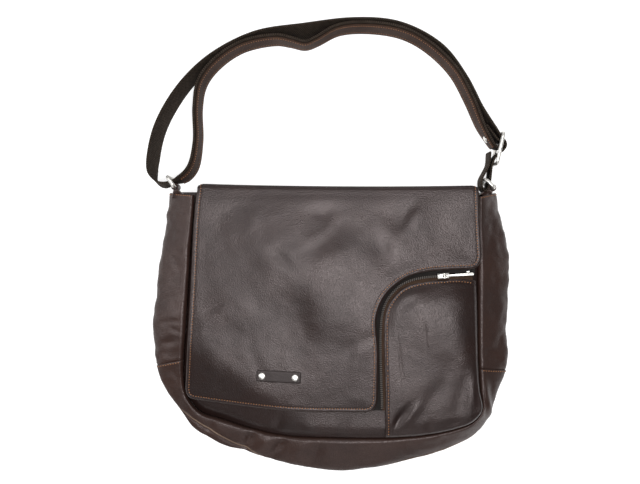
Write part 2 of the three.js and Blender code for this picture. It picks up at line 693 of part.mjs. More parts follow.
function ringHoop({ x, y, turn }) {
  return wireHoop(point(x, y, ring.middle), heading(turn), ring.halfAlong, ring.halfTall, ring.corner);
}

// Leather loop round the ring's near bar, its tongue sewn inside the gusset.
function ringTab({ x, y, turn }, tongue) {
  const bar = point(x, y).addScaledVector(heading(turn), ring.halfAlong);
  const down = point(tongue.x, tongue.y).sub(bar);
  const angle = Math.atan2(down.y, down.x);
  const [hole, out] = [wire + gap, wire + gap + tab.leather];
  const open = Math.asin(tab.tongue / 2 / out);
  const loop = new THREE.Shape();
  loop.absarc(0, 0, out, open, 2 * Math.PI - open);
  loop.lineTo(down.length(), -tab.tongue / 2);
  loop.lineTo(down.length(), tab.tongue / 2);
  loop.holes.push(new THREE.Path().absarc(0, 0, hole, 0, 2 * Math.PI, true));
  const body = new THREE.ExtrudeGeometry(loop, { depth: tab.tall, curveSegments: 10, bevelEnabled: false });
  return body.rotateZ(angle).translate(bar.x, bar.y, tab.low);
}

function slideFrame() {
  const direction = heading(slideTop.turn);
  const top = point(slideTop.x, slideTop.y, slide.middle);
  const centre = top.clone().addScaledVector(direction, slide.along / 2);
  const frame = wireHoop(centre, direction, slide.along / 2, slide.halfTall, slide.corner);
  const at = top.clone().addScaledVector(direction, slide.bar);
  const bar = new THREE.CylinderGeometry(wire - 0.1, wire - 0.1, 2 * slide.halfTall, 12);
  bar.rotateX(Math.PI / 2).translate(at.x, at.y, at.z);
  return joined(frame, bar);
}

// Body of the bag
piece('back_panel', backPanel(), finishes.leather);
piece('gusset_left', gusset(0, sideSeams.left - seamGap), finishes.leather);
piece('gusset_bottom', gusset(sideSeams.left + seamGap, sideSeams.right - seamGap), finishes.leather);
piece('gusset_right', gusset(sideSeams.right + seamGap, lastRow), finishes.leather);
piece('front_panel', frontPanel(), finishes.leather);
piece('pocket_panel', pocketPanel(), finishes.leather);
piece('flap', flap(), finishes.leather);

// Zip of the pocket
piece('zip_tape_flap', zipStrip(0, 1, 32, flapTape), finishes.tape);
piece('zip_tape_pocket', zipStrip(0, 0.985, 32, pocketTape), finishes.tape);
piece('zip_coil', zipStrip(0.005, coilEnd, 28, coilProfile), finishes.coil);
const zipHead = new THREE.Group();
const tapeTop = frontHeight(pullPlace.x, pullPlace.y) + zipHeight;
zipHead.position.set(pullPlace.x, pullPlace.y, tapeTop + 2 * gap + slider.hinge);
zipHead.rotation.z = degToRad(pullPlace.turn);
bag.add(zipHead);
piece('zip_slider', sliderBody(), finishes.nickel, zipHead);
piece('zip_pull', pullBar(), finishes.nickel, zipHead);
const stopAt = { x: 154.3, y: -30 };
const stopSize = { long: 3.4, wide: 2, tall: 1.4 };
const stopLow = frontHeight(stopAt.x, stopAt.y) + zipHeight * zipStand(stopAt.x) + 2 * gap;
const stop = piece(
  'zip_stop',
  new RoundedBoxGeometry(stopSize.long, stopSize.wide, stopSize.tall, 2, 0.4),
  finishes.nickel,
);
stop.position.set(stopAt.x, stopAt.y, stopLow + stopSize.tall / 2);

// Label on the flap
piece('label_patch', labelPatch(), finishes.leather);
for (const [side, hand] of [['left', -1], ['right', 1]]) {
  const seat = onFlap((hand * rivet.spacing) / 2, 0);
  const head = piece(`label_rivet_${side}`, dome(rivet.radius, rivet.height), finishes.nickel);
  head.position.set(seat.x, seat.y, seat.z + 2 * gap + label.thick);
}

// Rings and their tabs
piece('ring_left', ringHoop(leftRing), finishes.nickel);
piece('ring_right', ringHoop(rightRing), finishes.nickel);
piece('ring_tab_left', ringTab(leftRing, leftTongue), finishes.leather);
piece('ring_tab_right', ringTab(rightRing, rightTongue), finishes.leather);

// Strap
const { from: leatherFrom, to: leatherTo } = strapLeatherSpan;
piece('strap_webbing', ribbon(0, lastStrapRow, strap.width, strap.webbing, 0), finishes.webbing);
piece(
  'strap_leather',
  ribbon(leatherFrom, leatherTo, strap.leatherWidth, strap.leather, strapLeatherOffset),
  finishes.leather,
);
piece('strap_slide', slideFrame(), finishes.nickel);
piece('strap_rivet', rivetOnStrap(), finishes.nickel);

export default bag;
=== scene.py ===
import math
import bpy
import bmesh
import numpy as np
from functools import partial
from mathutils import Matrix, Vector, noise
from mathutils.geometry import delaunay_2d_cdt


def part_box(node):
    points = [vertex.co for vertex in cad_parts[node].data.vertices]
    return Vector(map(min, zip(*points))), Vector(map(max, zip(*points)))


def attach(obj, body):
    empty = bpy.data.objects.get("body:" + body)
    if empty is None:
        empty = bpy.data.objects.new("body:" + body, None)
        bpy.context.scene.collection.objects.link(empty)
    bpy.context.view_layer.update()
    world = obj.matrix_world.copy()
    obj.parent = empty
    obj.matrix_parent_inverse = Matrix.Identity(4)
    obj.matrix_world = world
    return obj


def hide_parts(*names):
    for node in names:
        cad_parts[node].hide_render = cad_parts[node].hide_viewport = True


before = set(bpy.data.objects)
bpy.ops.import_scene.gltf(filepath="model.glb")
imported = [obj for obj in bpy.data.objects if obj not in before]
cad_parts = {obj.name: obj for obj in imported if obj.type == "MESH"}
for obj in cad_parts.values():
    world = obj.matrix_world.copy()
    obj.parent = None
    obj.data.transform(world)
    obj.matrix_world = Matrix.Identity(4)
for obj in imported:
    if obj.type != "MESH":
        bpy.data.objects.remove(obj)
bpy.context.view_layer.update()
scene = bpy.context.scene
mm = 0.001  # lengths are in millimetres, apart from the floor, the lights and the depth of grain
gap = 0.4  # between leathers that touch
fullTurn = 2 * math.pi


def addObject(name, data):
    made = bpy.data.objects.new(name, data)
    scene.collection.objects.link(made)
    return made


# camera, straight above the bag
cameraSpot = {"x": -8.6, "y": 2.7, "height": 1500, "viewWidth": 729.6, "sensor": 36, "reach": 20000}


def addCamera():
    data = bpy.data.cameras.new("topCamera")
    data.sensor_width = cameraSpot["sensor"]
    data.lens = cameraSpot["sensor"] * cameraSpot["height"] / cameraSpot["viewWidth"]
    data.clip_end = cameraSpot["reach"] * mm
    scene.camera = addObject("topCamera", data)
    scene.camera.location = [cameraSpot[key] * mm for key in ("x", "y", "height")]


addCamera()
print("camera set")


# curves and surfaces as arrays of points, in millimetres
def thread(rows, perSpan=20):
    p = np.array(rows, float)
    p = np.concatenate([2 * p[:1] - p[1:2], p, 2 * p[-1:] - p[-2:-1]])
    step = np.maximum(np.sqrt(np.linalg.norm(np.diff(p, axis=0), axis=-1, keepdims=True)), 0.01)
    w = (np.arange(perSpan) / perSpan).reshape((-1,) + (1,) * (p.ndim - 1))
    spans = []
    for i in range(1, len(p) - 2):
        a, b, c, d = p[i - 1 : i + 3]
        d0, d1, d2 = step[i - 1 : i + 2]
        t1 = ((b - a) / d0 - (c - a) / (d0 + d1) + (c - b) / d1) * d1
        t2 = ((c - b) / d1 - (d - b) / (d1 + d2) + (d - c) / d2) * d1
        spans.append(b + t1 * w + (3 * c - 3 * b - 2 * t1 - t2) * w**2 + (2 * b - 2 * c + t1 + t2) * w**3)
    return np.concatenate(spans + [p[-2:-1]])


def at(line, row, perSpan=20):
    places = np.arange(len(line)) / perSpan
    return np.stack([np.interp(row, places, line[:, k]) for k in range(line.shape[1])], axis=-1)


# distance travelled at each point of a line
def runAlong(line):
    steps = np.linalg.norm(np.diff(line, axis=0), axis=-1)
    return np.concatenate([np.zeros((1,) + steps.shape[1:]), np.cumsum(steps, axis=0)])


def evenly(line, pitch, closed=False):
    line = np.concatenate([line, line[:1]]) if closed else line
    run = runAlong(line)
    spots = np.linspace(0, run[-1], max(2, round(run[-1] / pitch)) + 1)
    spots = spots[:-1] if closed else spots
    return np.stack([np.interp(spots, run, line[:, k]) for k in range(line.shape[1])], axis=-1)


def unit(v):
    return v / np.maximum(np.linalg.norm(v, axis=-1, keepdims=True), 1e-9)


def heading(degrees):
    return np.array([math.cos(math.radians(degrees)), math.sin(math.radians(degrees))])


def rightOf(along):
    return np.column_stack([along[:, 1], -along[:, 0]])


def smooth(x, low, high):
    t = np.clip((x - low) / (high - low), 0, 1)
    return t * t * (3 - 2 * t)


def bell(x, width):
    return np.exp(-((x / width) ** 2))


# x where it is above zero and nothing below, with a rounded bend
def softFloor(x, bend):
    return bend * np.logaddexp(0, x / bend)


def farFrom(points, line, batch=200):
    best = np.full(len(points), 1e9)
    for start in range(0, len(line), batch):
        part = line[start : start + batch]
        best = np.minimum(best, np.linalg.norm(points[:, None, :] - part[None], axis=2).min(1))
    return best


def between(x, rise, fall):
    return smooth(x, *rise) * (1 - smooth(x, *fall))


foldSpread = 3.2  # how far a one-sided crease reaches, in half widths


# creases: middle, direction, half length, half width, height; a one-sided one stands higher on its left
def creased(x, y, rows, oneSided=False):
    total = np.zeros_like(x)
    for cx, cy, turn, long, wide, high in rows:
        ux, uy = heading(turn)
        along = (x - cx) * ux + (y - cy) * uy
        side = (y - cy) * ux - (x - cx) * uy
        shape = np.tanh(side / wide) * bell(side, foldSpread * wide) if oneSided else bell(side, wide)
        total = total + high * bell(along, long) * shape
    return total


def ripple(points, size, seed):
    shift = Vector((seed * 3.7, seed * 1.3, seed * 2.1))
    return np.array([noise.fractal(Vector(p).to_3d() / size + shift, 1.0, 2.0, 3) for p in points])


def skinNormals(points, faces):
    corner = points[faces]
    flat = np.cross(corner[:, 2] - corner[:, 0], corner[:, -1] - corner[:, 1])
    total = np.zeros_like(points)
    for k in range(faces.shape[1]):
        np.add.at(total, faces[:, k], flat)
    return unit(total)


def gridFaces(rows, columns):
    i, j = np.meshgrid(np.arange(rows - 1), np.arange(columns - 1), indexing="ij")
    a = (i * columns + j).ravel()
    return np.stack([a, a + columns, a + columns + 1, a + 1], axis=1)


def roundTurns(sides):
    return np.arange(sides) * fullTurn / sides


# faces over rings of points: a capped tube, or a hoop that meets its own start
def tubeFaces(rings, sides, hoop=False):
    faces = []
    for i in range(rings if hoop else rings - 1):
        a, b = i * sides, (i + 1) % rings * sides
        faces += [(a + j, a + (j + 1) % sides, b + (j + 1) % sides, b + j) for j in range(sides)]
    if not hoop:
        faces += [tuple(reversed(range(sides))), tuple(range((rings - 1) * sides, rings * sides))]
    return faces


# points round the free edge of a sheet, in order
def rimOf(faces):
    after = {}
    for k in range(faces.shape[1]):
        for a, b in zip(faces[:, k].tolist(), np.roll(faces, -1, axis=1)[:, k].tolist()):
            after[a, b] = True
    following = {a: b for a, b in after if (b, a) not in after}
    loop = [next(iter(following))]
    while following[loop[-1]] != loop[0]:
        loop.append(following[loop[-1]])
    return np.array(loop)


def newPiece(name, points, faces, material, wear=None, uv=None):
    mesh = bpy.data.meshes.new(name)
    mesh.from_pydata((np.asarray(points) * mm).tolist(), [], [list(map(int, f)) for f in faces])
    mesh.update()
    mesh.shade_smooth()
    if wear is not None:
        rubbed = mesh.attributes.new("wear", "FLOAT", "POINT")
        rubbed.data.foreach_set("value", np.asarray(wear, np.float32))
    if uv is not None:
        corners = np.zeros(len(mesh.loops), np.int32)
        mesh.loops.foreach_get("vertex_index", corners)
        layer = mesh.uv_layers.new(name="lay")
        layer.data.foreach_set("uv", (np.asarray(uv)[corners] * mm).astype(np.float32).ravel())
    mesh.materials.append(material)
    return addObject(name, mesh)


def settle(piece, node=None, body="bag"):
    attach(piece, body)
    if node:
        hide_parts(node)
    return piece


# closed piece with its faces turned outward
def solidPiece(name, node, slot, points, faces, material):
    piece = newPiece(name, points, faces, material)
    bm = bmesh.new()
    bm.from_mesh(piece.data)
    bmesh.ops.recalc_face_normals(bm, faces=bm.faces)
    bm.to_mesh(piece.data)
    bm.free()
    settle(piece, node)


# closed piece of two skins, joined round their edge by a rounded rim
def shell(
    name, node, outer, inner, faces, material, wear=None, uv=None, slot="bag_leather",
    roundness=0.4, rubbed=1.0,
):
    if (skinNormals(outer, faces) * (outer - inner)).sum() < 0:
        faces = faces[:, ::-1]
    rim = rimOf(faces)
    top, low = outer[rim], inner[rim]
    middle, half = (top + low) / 2, (top - low) / 2
    out = unit(np.cross(np.roll(top, -1, 0) - np.roll(top, 1, 0), half))
    thick = 2 * np.linalg.norm(half, axis=1, keepdims=True)
    points, rings = [outer, inner], [rim]
    count = len(outer)
    rimTurns = (math.pi / 4, math.pi / 2, 3 * math.pi / 4)
    for k, turn in enumerate(rimTurns):
        points.append(middle + half * math.cos(turn) + out * thick * roundness * math.sin(turn))
        rings.append(2 * count + k * len(rim) + np.arange(len(rim)))
    rings.append(rim + count)
    allFaces = faces.tolist() + (faces[:, ::-1] + count).tolist()
    for a, b in zip(rings, rings[1:]):
        allFaces += np.stack([a, b, np.roll(b, -1), np.roll(a, -1)], axis=1).tolist()
    if wear is not None:
        wear = np.concatenate([wear, wear, np.full(len(rimTurns) * len(rim), rubbed)])
    if uv is not None:
        uv = np.concatenate([uv, uv] + [uv[rim]] * len(rimTurns))
    return settle(newPiece(name, np.concatenate(points), allFaces, material, wear, uv), node)


# points and triangles inside an outline, with rows that follow its edge
def cutSheet(outline, spacing, rows):
    loop = evenly(outline, spacing * 0.8, closed=True)
    inward = -rightOf(unit(np.roll(loop, -1, 0) - np.roll(loop, 1, 0)))
    points, depth = [loop], [np.zeros(len(loop))]
    for d in rows:
        ring = loop + inward * d
        ring = ring[farFrom(ring, loop) > d * 0.97]  # none where the rows would cross
        points.append(ring)
        depth.append(np.full(len(ring), d))
    low, high = loop.min(0), loop.max(0)
    gx, gy = np.meshgrid(np.arange(low[0], high[0], spacing), np.arange(low[1], high[1], spacing))
    field = np.stack([gx.ravel(), gy.ravel()], axis=1)
    inside = np.zeros(len(field), bool)
    for a, b in zip(loop, np.roll(loop, -1, 0)):
        crosses = (a[1] > field[:, 1]) != (b[1] > field[:, 1])
        slant = (b[0] - a[0]) * (field[:, 1] - a[1]) / (b[1] - a[1] + 1e-12)
        inside ^= crosses & (field[:, 0] < slant + a[0])
    field = field[inside]
    away = farFrom(field, loop)
    keep = away > rows[-1] + 0.6 * spacing
    points = np.concatenate(points + [field[keep]])
    depth = np.concatenate(depth + [away[keep]])
    made = delaunay_2d_cdt([Vector(p) for p in points], [], [list(range(len(loop)))], 1, 1e-5)
    source = [o[0] for o in made[3]]
    return np.array([tuple(v) for v in made[0]]), np.array(made[2]), depth[source]


# edge of a leather: rounded down at its cut, pulled in along its stitches
def edgeShape(depth, stitchIn, pull, drop):
    edge = {"rounded": 1.6, "groove": 0.9}
    rounded = drop * (1 - np.clip(depth / edge["rounded"], 0, 1)) ** 2
    return -rounded - pull * bell(depth - stitchIn, edge["groove"])


# nodes: a socket takes a value or another node's output
def feed(tree, socket, value):
    if isinstance(value, bpy.types.NodeSocket):
        tree.links.new(value, socket)
    else:
        socket.default_value = value


def give(tree, node, **values):
    for key, value in values.items():
        if hasattr(node, key):
            setattr(node, key, value)
        else:
            feed(tree, node.inputs[key.replace("_", " ")], value)
    return node


def build(tree, kind, **values):
    return give(tree, tree.nodes.new(kind), **values)


def mathStep(tree, operation, a, b=0.0):
    made = build(tree, "ShaderNodeMath", operation=operation)
    for socket, value in zip(made.inputs, (a, b)):
        feed(tree, socket, value)
    return made.outputs[0]


def texture(tree, kind, **values):
    spots = build(tree, "ShaderNodeTexCoord").outputs["Object"]
    return build(tree, "ShaderNodeTex" + kind, Vector=spots, **values).outputs


def ramp(tree, factor, low, high, start=0.3, end=0.7):
    ends = {"From_Min": start, "From_Max": end, "To_Min": low, "To_Max": high}
    return build(tree, "ShaderNodeMapRange", Value=factor, **ends).outputs[0]


def blendColors(tree, factor, low, high):
    made = build(tree, "ShaderNodeMix", data_type="RGBA")
    for k, value in ((0, factor), (6, low), (7, high)):
        feed(tree, made.inputs[k], value + (1,) if isinstance(value, tuple) else value)
    return made.outputs[2]


# shader groups shared by the materials
def newGroup(name, inputs, outputs):
    tree = bpy.data.node_groups.new(name, "ShaderNodeTree")
    for label, value in inputs.items():
        kind = "NodeSocketColor" if isinstance(value, tuple) else "NodeSocketFloat"
        tree.interface.new_socket(label, in_out="INPUT", socket_type=kind).default_value = value
    for label, kind in outputs.items():
        tree.interface.new_socket(label, in_out="OUTPUT", socket_type=kind)
    return tree, tree.nodes.new("NodeGroupInput").outputs, tree.nodes.new("NodeGroupOutput")


def grainGroup():
    sizes = {"Pebble Size": 900.0, "Crease Size": 60.0}
    results = dict.fromkeys(("Height", "Mottle", "Pebble"), "NodeSocketFloat")
    tree, given, out = newGroup("leatherGrain", sizes, results)
    calc, noises = partial(mathStep, tree), partial(texture, tree, "Noise")
    fineSize = calc("MULTIPLY", given["Pebble Size"], 0.7)
    mottleSize = calc("MULTIPLY", given["Crease Size"], 0.35)
    cells = texture(tree, "Voronoi", feature="SMOOTH_F1", Scale=given["Pebble Size"], Smoothness=0.6)
    cells = cells["Distance"]
    fine = noises(Scale=fineSize, Detail=3.0, Roughness=0.6)[0]
    crease = noises(Scale=given["Crease Size"], Detail=5.0, Roughness=0.62, Distortion=0.6)[0]
    mottle = noises(Scale=mottleSize, Detail=4.0, Roughness=0.6)[0]
    ridged = calc("ABSOLUTE", calc("SUBTRACT", crease, 0.5))
    height = calc("MULTIPLY", cells, 0.8)
    for part, amount in ((fine, 0.22), (ridged, 0.15)):
        height = calc("ADD", height, calc("MULTIPLY", part, amount))
    give(tree, out, Height=height, Mottle=mottle, Pebble=cells)
    return tree


def wearGroup():
    looks = {"Color": (0.03, 0.02, 0.02, 1), "Rubbed": (0.12, 0.08, 0.06, 1), "Amount": 0.6}
    tree, given, out = newGroup("edgeWear", looks, {"Color": "NodeSocketColor"})
    calc = partial(mathStep, tree)
    edge = build(tree, "ShaderNodeAttribute", attribute_name="wear").outputs["Fac"]
    patches = texture(tree, "Noise", Scale=180.0, Detail=4.0)[0]
    mask = calc("MULTIPLY", calc("MULTIPLY", edge, calc("MULTIPLY", patches, 1.6)), given["Amount"])
    give(tree, out, Color=blendColors(tree, mask, given["Color"], given["Rubbed"]))
    return tree


def weaveGroup():
    sizes = {"Along": 1400.0, "Across": 900.0}
    results = dict.fromkeys(("Height", "Mottle"), "NodeSocketFloat")
    tree, given, out = newGroup("wovenThreads", sizes, results)
    calc = partial(mathStep, tree)
    lay = build(tree, "ShaderNodeUVMap", uv_map="lay").outputs["UV"]
    apart = build(tree, "ShaderNodeSeparateXYZ", Vector=lay).outputs
    run = calc("MULTIPLY", apart["X"], given["Along"])
    side = calc("MULTIPLY", apart["Y"], given["Across"])
    shifted = calc("ADD", run, calc("MULTIPLY", calc("FLOOR", side), 0.5))
    over, under = (calc("SINE", calc("MULTIPLY", each, fullTurn)) for each in (side, shifted))
    height = calc("ADD", calc("MULTIPLY", calc("ADD", over, under), 0.25), 0.5)
    give(tree, out, Height=height, Mottle=texture(tree, "Noise", Scale=220.0, Detail=4.0)[0])
    return tree


grain, edgeWear, weave = grainGroup(), wearGroup(), weaveGroup()


def newMaterial(name):
    material = bpy.data.materials.new(name)
    material.use_nodes = True
    return material, material.node_tree, material.node_tree.nodes["Principled BSDF"]


def leatherMaterial(name, dark, light, rubbed, rough, wear, depth, pebble, shine):
    material, tree, surface = newMaterial(name)
    cells = build(tree, "ShaderNodeGroup", node_tree=grain, Pebble_Size=pebble).outputs
    speck = ramp(tree, cells["Pebble"], 0.0, 0.6, 0.1, 0.7)
    shade = mathStep(tree, "ADD", ramp(tree, cells["Mottle"], 0.0, 0.6), speck)
    tone = blendColors(tree, shade, light, dark)
    worn = build(tree, "ShaderNodeGroup", node_tree=edgeWear, Color=tone, Rubbed=rubbed + (1,), Amount=wear)
    broad = ramp(tree, cells["Mottle"], -0.05, 0.05)
    patchy = mathStep(tree, "ADD", broad, ramp(tree, cells["Pebble"], -0.06, 0.08))
    bump = build(tree, "ShaderNodeBump", Strength=0.5, Distance=depth, Height=cells["Height"])
    give(tree, surface, Base_Color=worn.outputs["Color"], Roughness=mathStep(tree, "ADD", patchy, rough))
    give(tree, surface, Specular_IOR_Level=shine, Specular_Tint=(1, 0.89, 0.885, 1), Normal=bump.outputs[0])
    return material


def wovenMaterial(name, dark, light, along, across, depth, shine):
    material, tree, surface = newMaterial(name)
    threads = build(tree, "ShaderNodeGroup", node_tree=weave, Along=along, Across=across).outputs
    shade = mathStep(tree, "MULTIPLY", threads["Height"], ramp(tree, threads["Mottle"], 0.4, 0.6))
    tone = blendColors(tree, ramp(tree, shade, 0, 1, 0.1, 0.5), dark, light)
    bump = build(tree, "ShaderNodeBump", Strength=0.7, Distance=depth, Height=threads["Height"])
    give(tree, surface, Base_Color=tone, Roughness=0.85, Specular_IOR_Level=shine, Normal=bump.outputs[0])
    return material


def metalMaterial(name, color, rough):
    material, tree, surface = newMaterial(name)
    scuff = texture(tree, "Noise", Scale=700.0, Detail=5.0)[0]
    tone = blendColors(tree, scuff, tuple(c * 0.86 for c in color), color)
    patchy = ramp(tree, scuff, rough - 0.05, rough + 0.12)
    give(tree, surface, Metallic=1.0, Base_Color=tone, Roughness=patchy)
    return material


def threadMaterial(name, dark, light, shine):
    material, tree, surface = newMaterial(name)
    twist = texture(tree, "Wave", Scale=900.0, Distortion=2.0)["Fac"]
    tone = blendColors(tree, twist, dark, light)
    give(tree, surface, Base_Color=tone, Roughness=0.7, Specular_IOR_Level=shine)
    return material


# leathers: dark, light and rubbed tones, roughness, wear, grain depth, pebbles in a metre, shine
bagLeather = leatherMaterial(
    "bagLeather", (0.0085, 0.0042, 0.0034), (0.0205, 0.0095, 0.0075), (0.05, 0.029, 0.02),
    0.37, 0.2, 0.0005, 900.0, 0.5,
)
# partly painted light: the bag's leather with a lighter, redder base for the gussets and ring tabs, standing
# in for the light that falls on the sides
sideLeatherPaintedLighter = leatherMaterial(
    "sideLeatherPaintedLighter", (0.019, 0.009, 0.0066), (0.042, 0.0208, 0.0154), (0.06, 0.033, 0.022),
    0.42, 0.2, 0.0005, 900.0, 0.5,
)
strapLeather = leatherMaterial(
    "strapLeather", (0.032, 0.0172, 0.0122), (0.058, 0.0335, 0.0245), (0.08, 0.048, 0.032),
    0.6, 0.4, 0.0004, 1000.0, 0.06,
)
edgeLeather = leatherMaterial(
    "edgeLeather", (0.1, 0.066, 0.047), (0.21, 0.15, 0.112), (0.2, 0.15, 0.11),
    0.6, 0.2, 0.0003, 1200.0, 0.2,
)
labelLeather = leatherMaterial(
    "labelLeather", (0.013, 0.0095, 0.009), (0.022, 0.0165, 0.0158), (0.05, 0.034, 0.026),
    0.5, 0.05, 0.0003, 1200.0, 0.4,
)
# weaves: dark and light tones, threads in a metre along and across, depth, shine
webbingWeave = wovenMaterial(
    "webbingWeave", (0.01, 0.0074, 0.0058), (0.09, 0.068, 0.053), 420.0, 360.0, 0.0008, 0.05,
)
tapeWeave = wovenMaterial(
    "tapeWeave", (0.02, 0.0115, 0.0075), (0.09, 0.054, 0.036), 1400.0, 1200.0, 0.0003, 0.1,
)
# painted shadow: a darker copy of the tape weave, for the flap side tape that lies in the shade under the
# flap's edge
paintedShadowTape = wovenMaterial(
    "paintedShadowTape", (0.004, 0.0025, 0.0018), (0.015, 0.009, 0.0065), 1400.0, 1200.0, 0.0003, 0.5,
)
# partly painted highlight: the coil turns are coloured much lighter than the dark core, so their colour holds
# the sheen on their crests as well as the plastic's own tone
coilPlasticAndSheen = threadMaterial("coilPlasticAndSheen", (0.07, 0.056, 0.048), (0.22, 0.18, 0.155), 0.5)
coilCore = threadMaterial("coilCore", (0.005, 0.0038, 0.0032), (0.012, 0.009, 0.0075), 0.5)
seamThread = threadMaterial("seamThread", (0.24, 0.1, 0.045), (0.5, 0.235, 0.11), 0.2)
nickel = metalMaterial("nickel", (0.82, 0.8, 0.76), 0.36)
print("materials made")


# piece with the mesh that a draft has after its modifiers, in place of the draft
def applied(draft, name):
    bpy.context.view_layer.update()
    made = bpy.data.meshes.new_from_object(draft.evaluated_get(bpy.context.evaluated_depsgraph_get()))
    made.name = name
    bpy.data.objects.remove(draft)
    return addObject(name, made)


# rows of stitches, or turns of a coil, along lines that lie on a surface
def rowTree():
    tree = bpy.data.node_groups.new("threadRow", "GeometryNodeTree")
    sockets = {"Geometry": "Geometry", "Finish": "Material"}
    sockets |= dict.fromkeys(("Pitch", "Length", "Width", "Height", "Turn"), "Float")
    for label, kind in sockets.items():
        tree.interface.new_socket(label, in_out="INPUT", socket_type="NodeSocket" + kind)
    tree.interface.new_socket("Geometry", in_out="OUTPUT", socket_type="NodeSocketGeometry")
    given = tree.nodes.new("NodeGroupInput").outputs

    def step(kind, **values):
        return build(tree, kind, **values).outputs[0]

    lines = step("GeometryNodeMeshToCurve", Mesh=given["Geometry"])
    spaced = step("GeometryNodeResampleCurve", mode="LENGTH", Curve=lines, Length=given["Pitch"])
    up = step("GeometryNodeInputNamedAttribute", data_type="FLOAT_VECTOR", Name="up")
    lie = step("FunctionNodeAlignRotationToVector", axis="Z", Vector=up)
    along = step("GeometryNodeInputTangent")
    run = step("FunctionNodeAlignRotationToVector", axis="X", pivot_axis="Z", Rotation=lie, Vector=along)
    wobble = build(tree, "FunctionNodeRandomValue", Seed=7)
    wobble.inputs[2].default_value, wobble.inputs[3].default_value = -0.07, 0.07
    angle = mathStep(tree, "ADD", given["Turn"], wobble.outputs[1])
    spin = step("FunctionNodeAxisAngleToRotation", Angle=angle)
    turned = step("FunctionNodeRotateRotation", rotation_space="LOCAL", Rotation=run, Rotate_By=spin)
    bead = step("GeometryNodeMeshUVSphere", Segments=8, Rings=6, Radius=0.5)
    sizes = step("ShaderNodeCombineXYZ", X=given["Length"], Y=given["Width"], Z=given["Height"])
    beads = step("GeometryNodeInstanceOnPoints", Points=spaced, Instance=bead, Rotation=turned, Scale=sizes)
    real = step("GeometryNodeRealizeInstances", Geometry=beads)
    soft = step("GeometryNodeSetShadeSmooth", Geometry=real)
    dyed = step("GeometryNodeSetMaterial", Geometry=soft, Material=given["Finish"])
    build(tree, "NodeGroupOutput", Geometry=dyed)
    return tree


threadRow = rowTree()


# lines are pairs of points and the surface's normals there
def sewnRow(name, slot, lines, material, pitch, length, width, height, turn=0.0):
    points, ups = (np.concatenate(each) for each in zip(*lines))
    edges, start = [], 0
    for line, _ in lines:
        edges += [(k, k + 1) for k in range(start, start + len(line) - 1)]
        start += len(line)
    mesh = bpy.data.meshes.new(name)
    mesh.from_pydata((points * mm).tolist(), edges, [])
    upward = mesh.attributes.new("up", "FLOAT_VECTOR", "POINT")
    upward.data.foreach_set("vector", ups.astype(np.float32).ravel())
    draft = addObject(name + "Draft", mesh)
    modifier = draft.modifiers.new("rows", "NODES")
    modifier.node_group = threadRow
    values = {"Pitch": pitch * mm, "Length": length * mm, "Width": width * mm, "Height": height * mm}
    values |= {"Turn": turn, "Finish": material}
    for socket in threadRow.interface.items_tree:
        if socket.name in values:
            modifier[socket.identifier] = values[socket.name]
    settle(applied(draft, name))


# body of the bag
front = {
    "left": -160, "right": 168, "bottom": -215, "top": 54, "lowSeam": 42, "highSeam": 50, "crown": 8,
    "leather": 2, "clear": 0.8, "corners": (7.4, 16.6), "mouth": (0.22, 23.83),
}
hang = {"x": -151.7, "y": -110.7, "turn": -34.8, "slope": 0.27, "most": 30, "bend": 5}  # lower left corner
middleSpot = np.array([5.0, -80.0])


def frontHeight(x, y):
    across = (2 * x - front["left"] - front["right"]) / (front["right"] - front["left"])
    up = (2 * y - front["bottom"] - front["top"]) / (front["top"] - front["bottom"])
    seam = front["lowSeam"] + (front["highSeam"] - front["lowSeam"]) * (up + 1) / 2
    swell = front["crown"] * np.maximum(0, 1 - across**2) * np.maximum(0, 1 - up**2)
    ux, uy = heading(hang["turn"])
    past = softFloor((x - hang["x"]) * uy - (y - hang["y"]) * ux, hang["bend"])
    return seam + swell - hang["most"] * np.tanh(past * hang["slope"] / hang["most"])


# gusset rows: seam at the front, furthest bulge, foot at the back
gussetRows = [
    (-147.5, 54.5, -176, 57.5, -170, 57), (-149, 32.5, -180, 33, -172.5, 33),
    (-152, -0.5, -186, -0.5, -177, -0.5), (-155, -45, -190, -45.5, -179.5, -46),
    (-158, -94.5, -195, -94, -181.5, -95), (-161, -128.5, -192, -135.5, -181.5, -136),
    (-160.5, -159, -182.5, -161.5, -180, -163), (-155, -174.5, -167, -183.5, -165, -182),
    (-142.5, -188, -151, -205.5, -149.5, -203), (-119.5, -195.5, -120, -224.5, -119.5, -222),
    (-86, -205.5, -89.5, -233, -90, -230.5), (-47.5, -213, -50, -244.5, -50.5, -238),
    (8, -215, 10.5, -254, 9.5, -243), (63.5, -215.3, 68, -247, 67.5, -241),
    (107.5, -212, 113, -235.5, 112.5, -233), (141, -205.5, 146.5, -223.5, 145.5, -221.5),
    (162, -197, 172, -206, 170, -204.5), (172, -182.5, 186, -184, 183, -184),
    (169, -161, 191.5, -162.5, 187.5, -163), (167.5, -138, 200.3, -141, 189.5, -141),
    (166.5, -98, 202, -100, 189.5, -101), (166, -50.5, 204.5, -51, 189.5, -52),
    (166, -11.5, 203, -12, 187, -12), (166, 21.5, 195.5, 22, 182.5, 22),
    (166.5, 52.5, 187, 57.5, 179, 56.5),
]
seamLine, bulgeLine, footLine = (thread([row[k : k + 2] for row in gussetRows]) for k in (0, 2, 4))
gusset = {
    "leather": 2, "slack": 0.62, "bulge": 22, "foot": 0.2, "turnSteps": 38, "step": 2.2, "girth": 24,
    "hemIn": 3, "hemFrom": 4, "hemTo": 2, "threadUp": 0.15, "wear": 0.7, "wearWidth": 1.6, "roundness": 0.05,
}
pucker = {
    "broad": 2.2, "broadSize": 34, "fine": 0.8, "fineSize": 13, "bottomShare": 0.45, "creaseHeights": (8, 26),
    "fade": 9, "footFade": 0.8, "dip": 0.8, "dipWidth": 1.6, "belowFlap": ((4.6, 7.5), (17, 19.5)),
    "turnIn": 5, "turnWidth": 1.3, "under": 2.3, "underWidth": 2.4,
}
bodyStitch = {"pitch": 3.3, "length": 1.5, "width": 1.0, "height": 1.0}
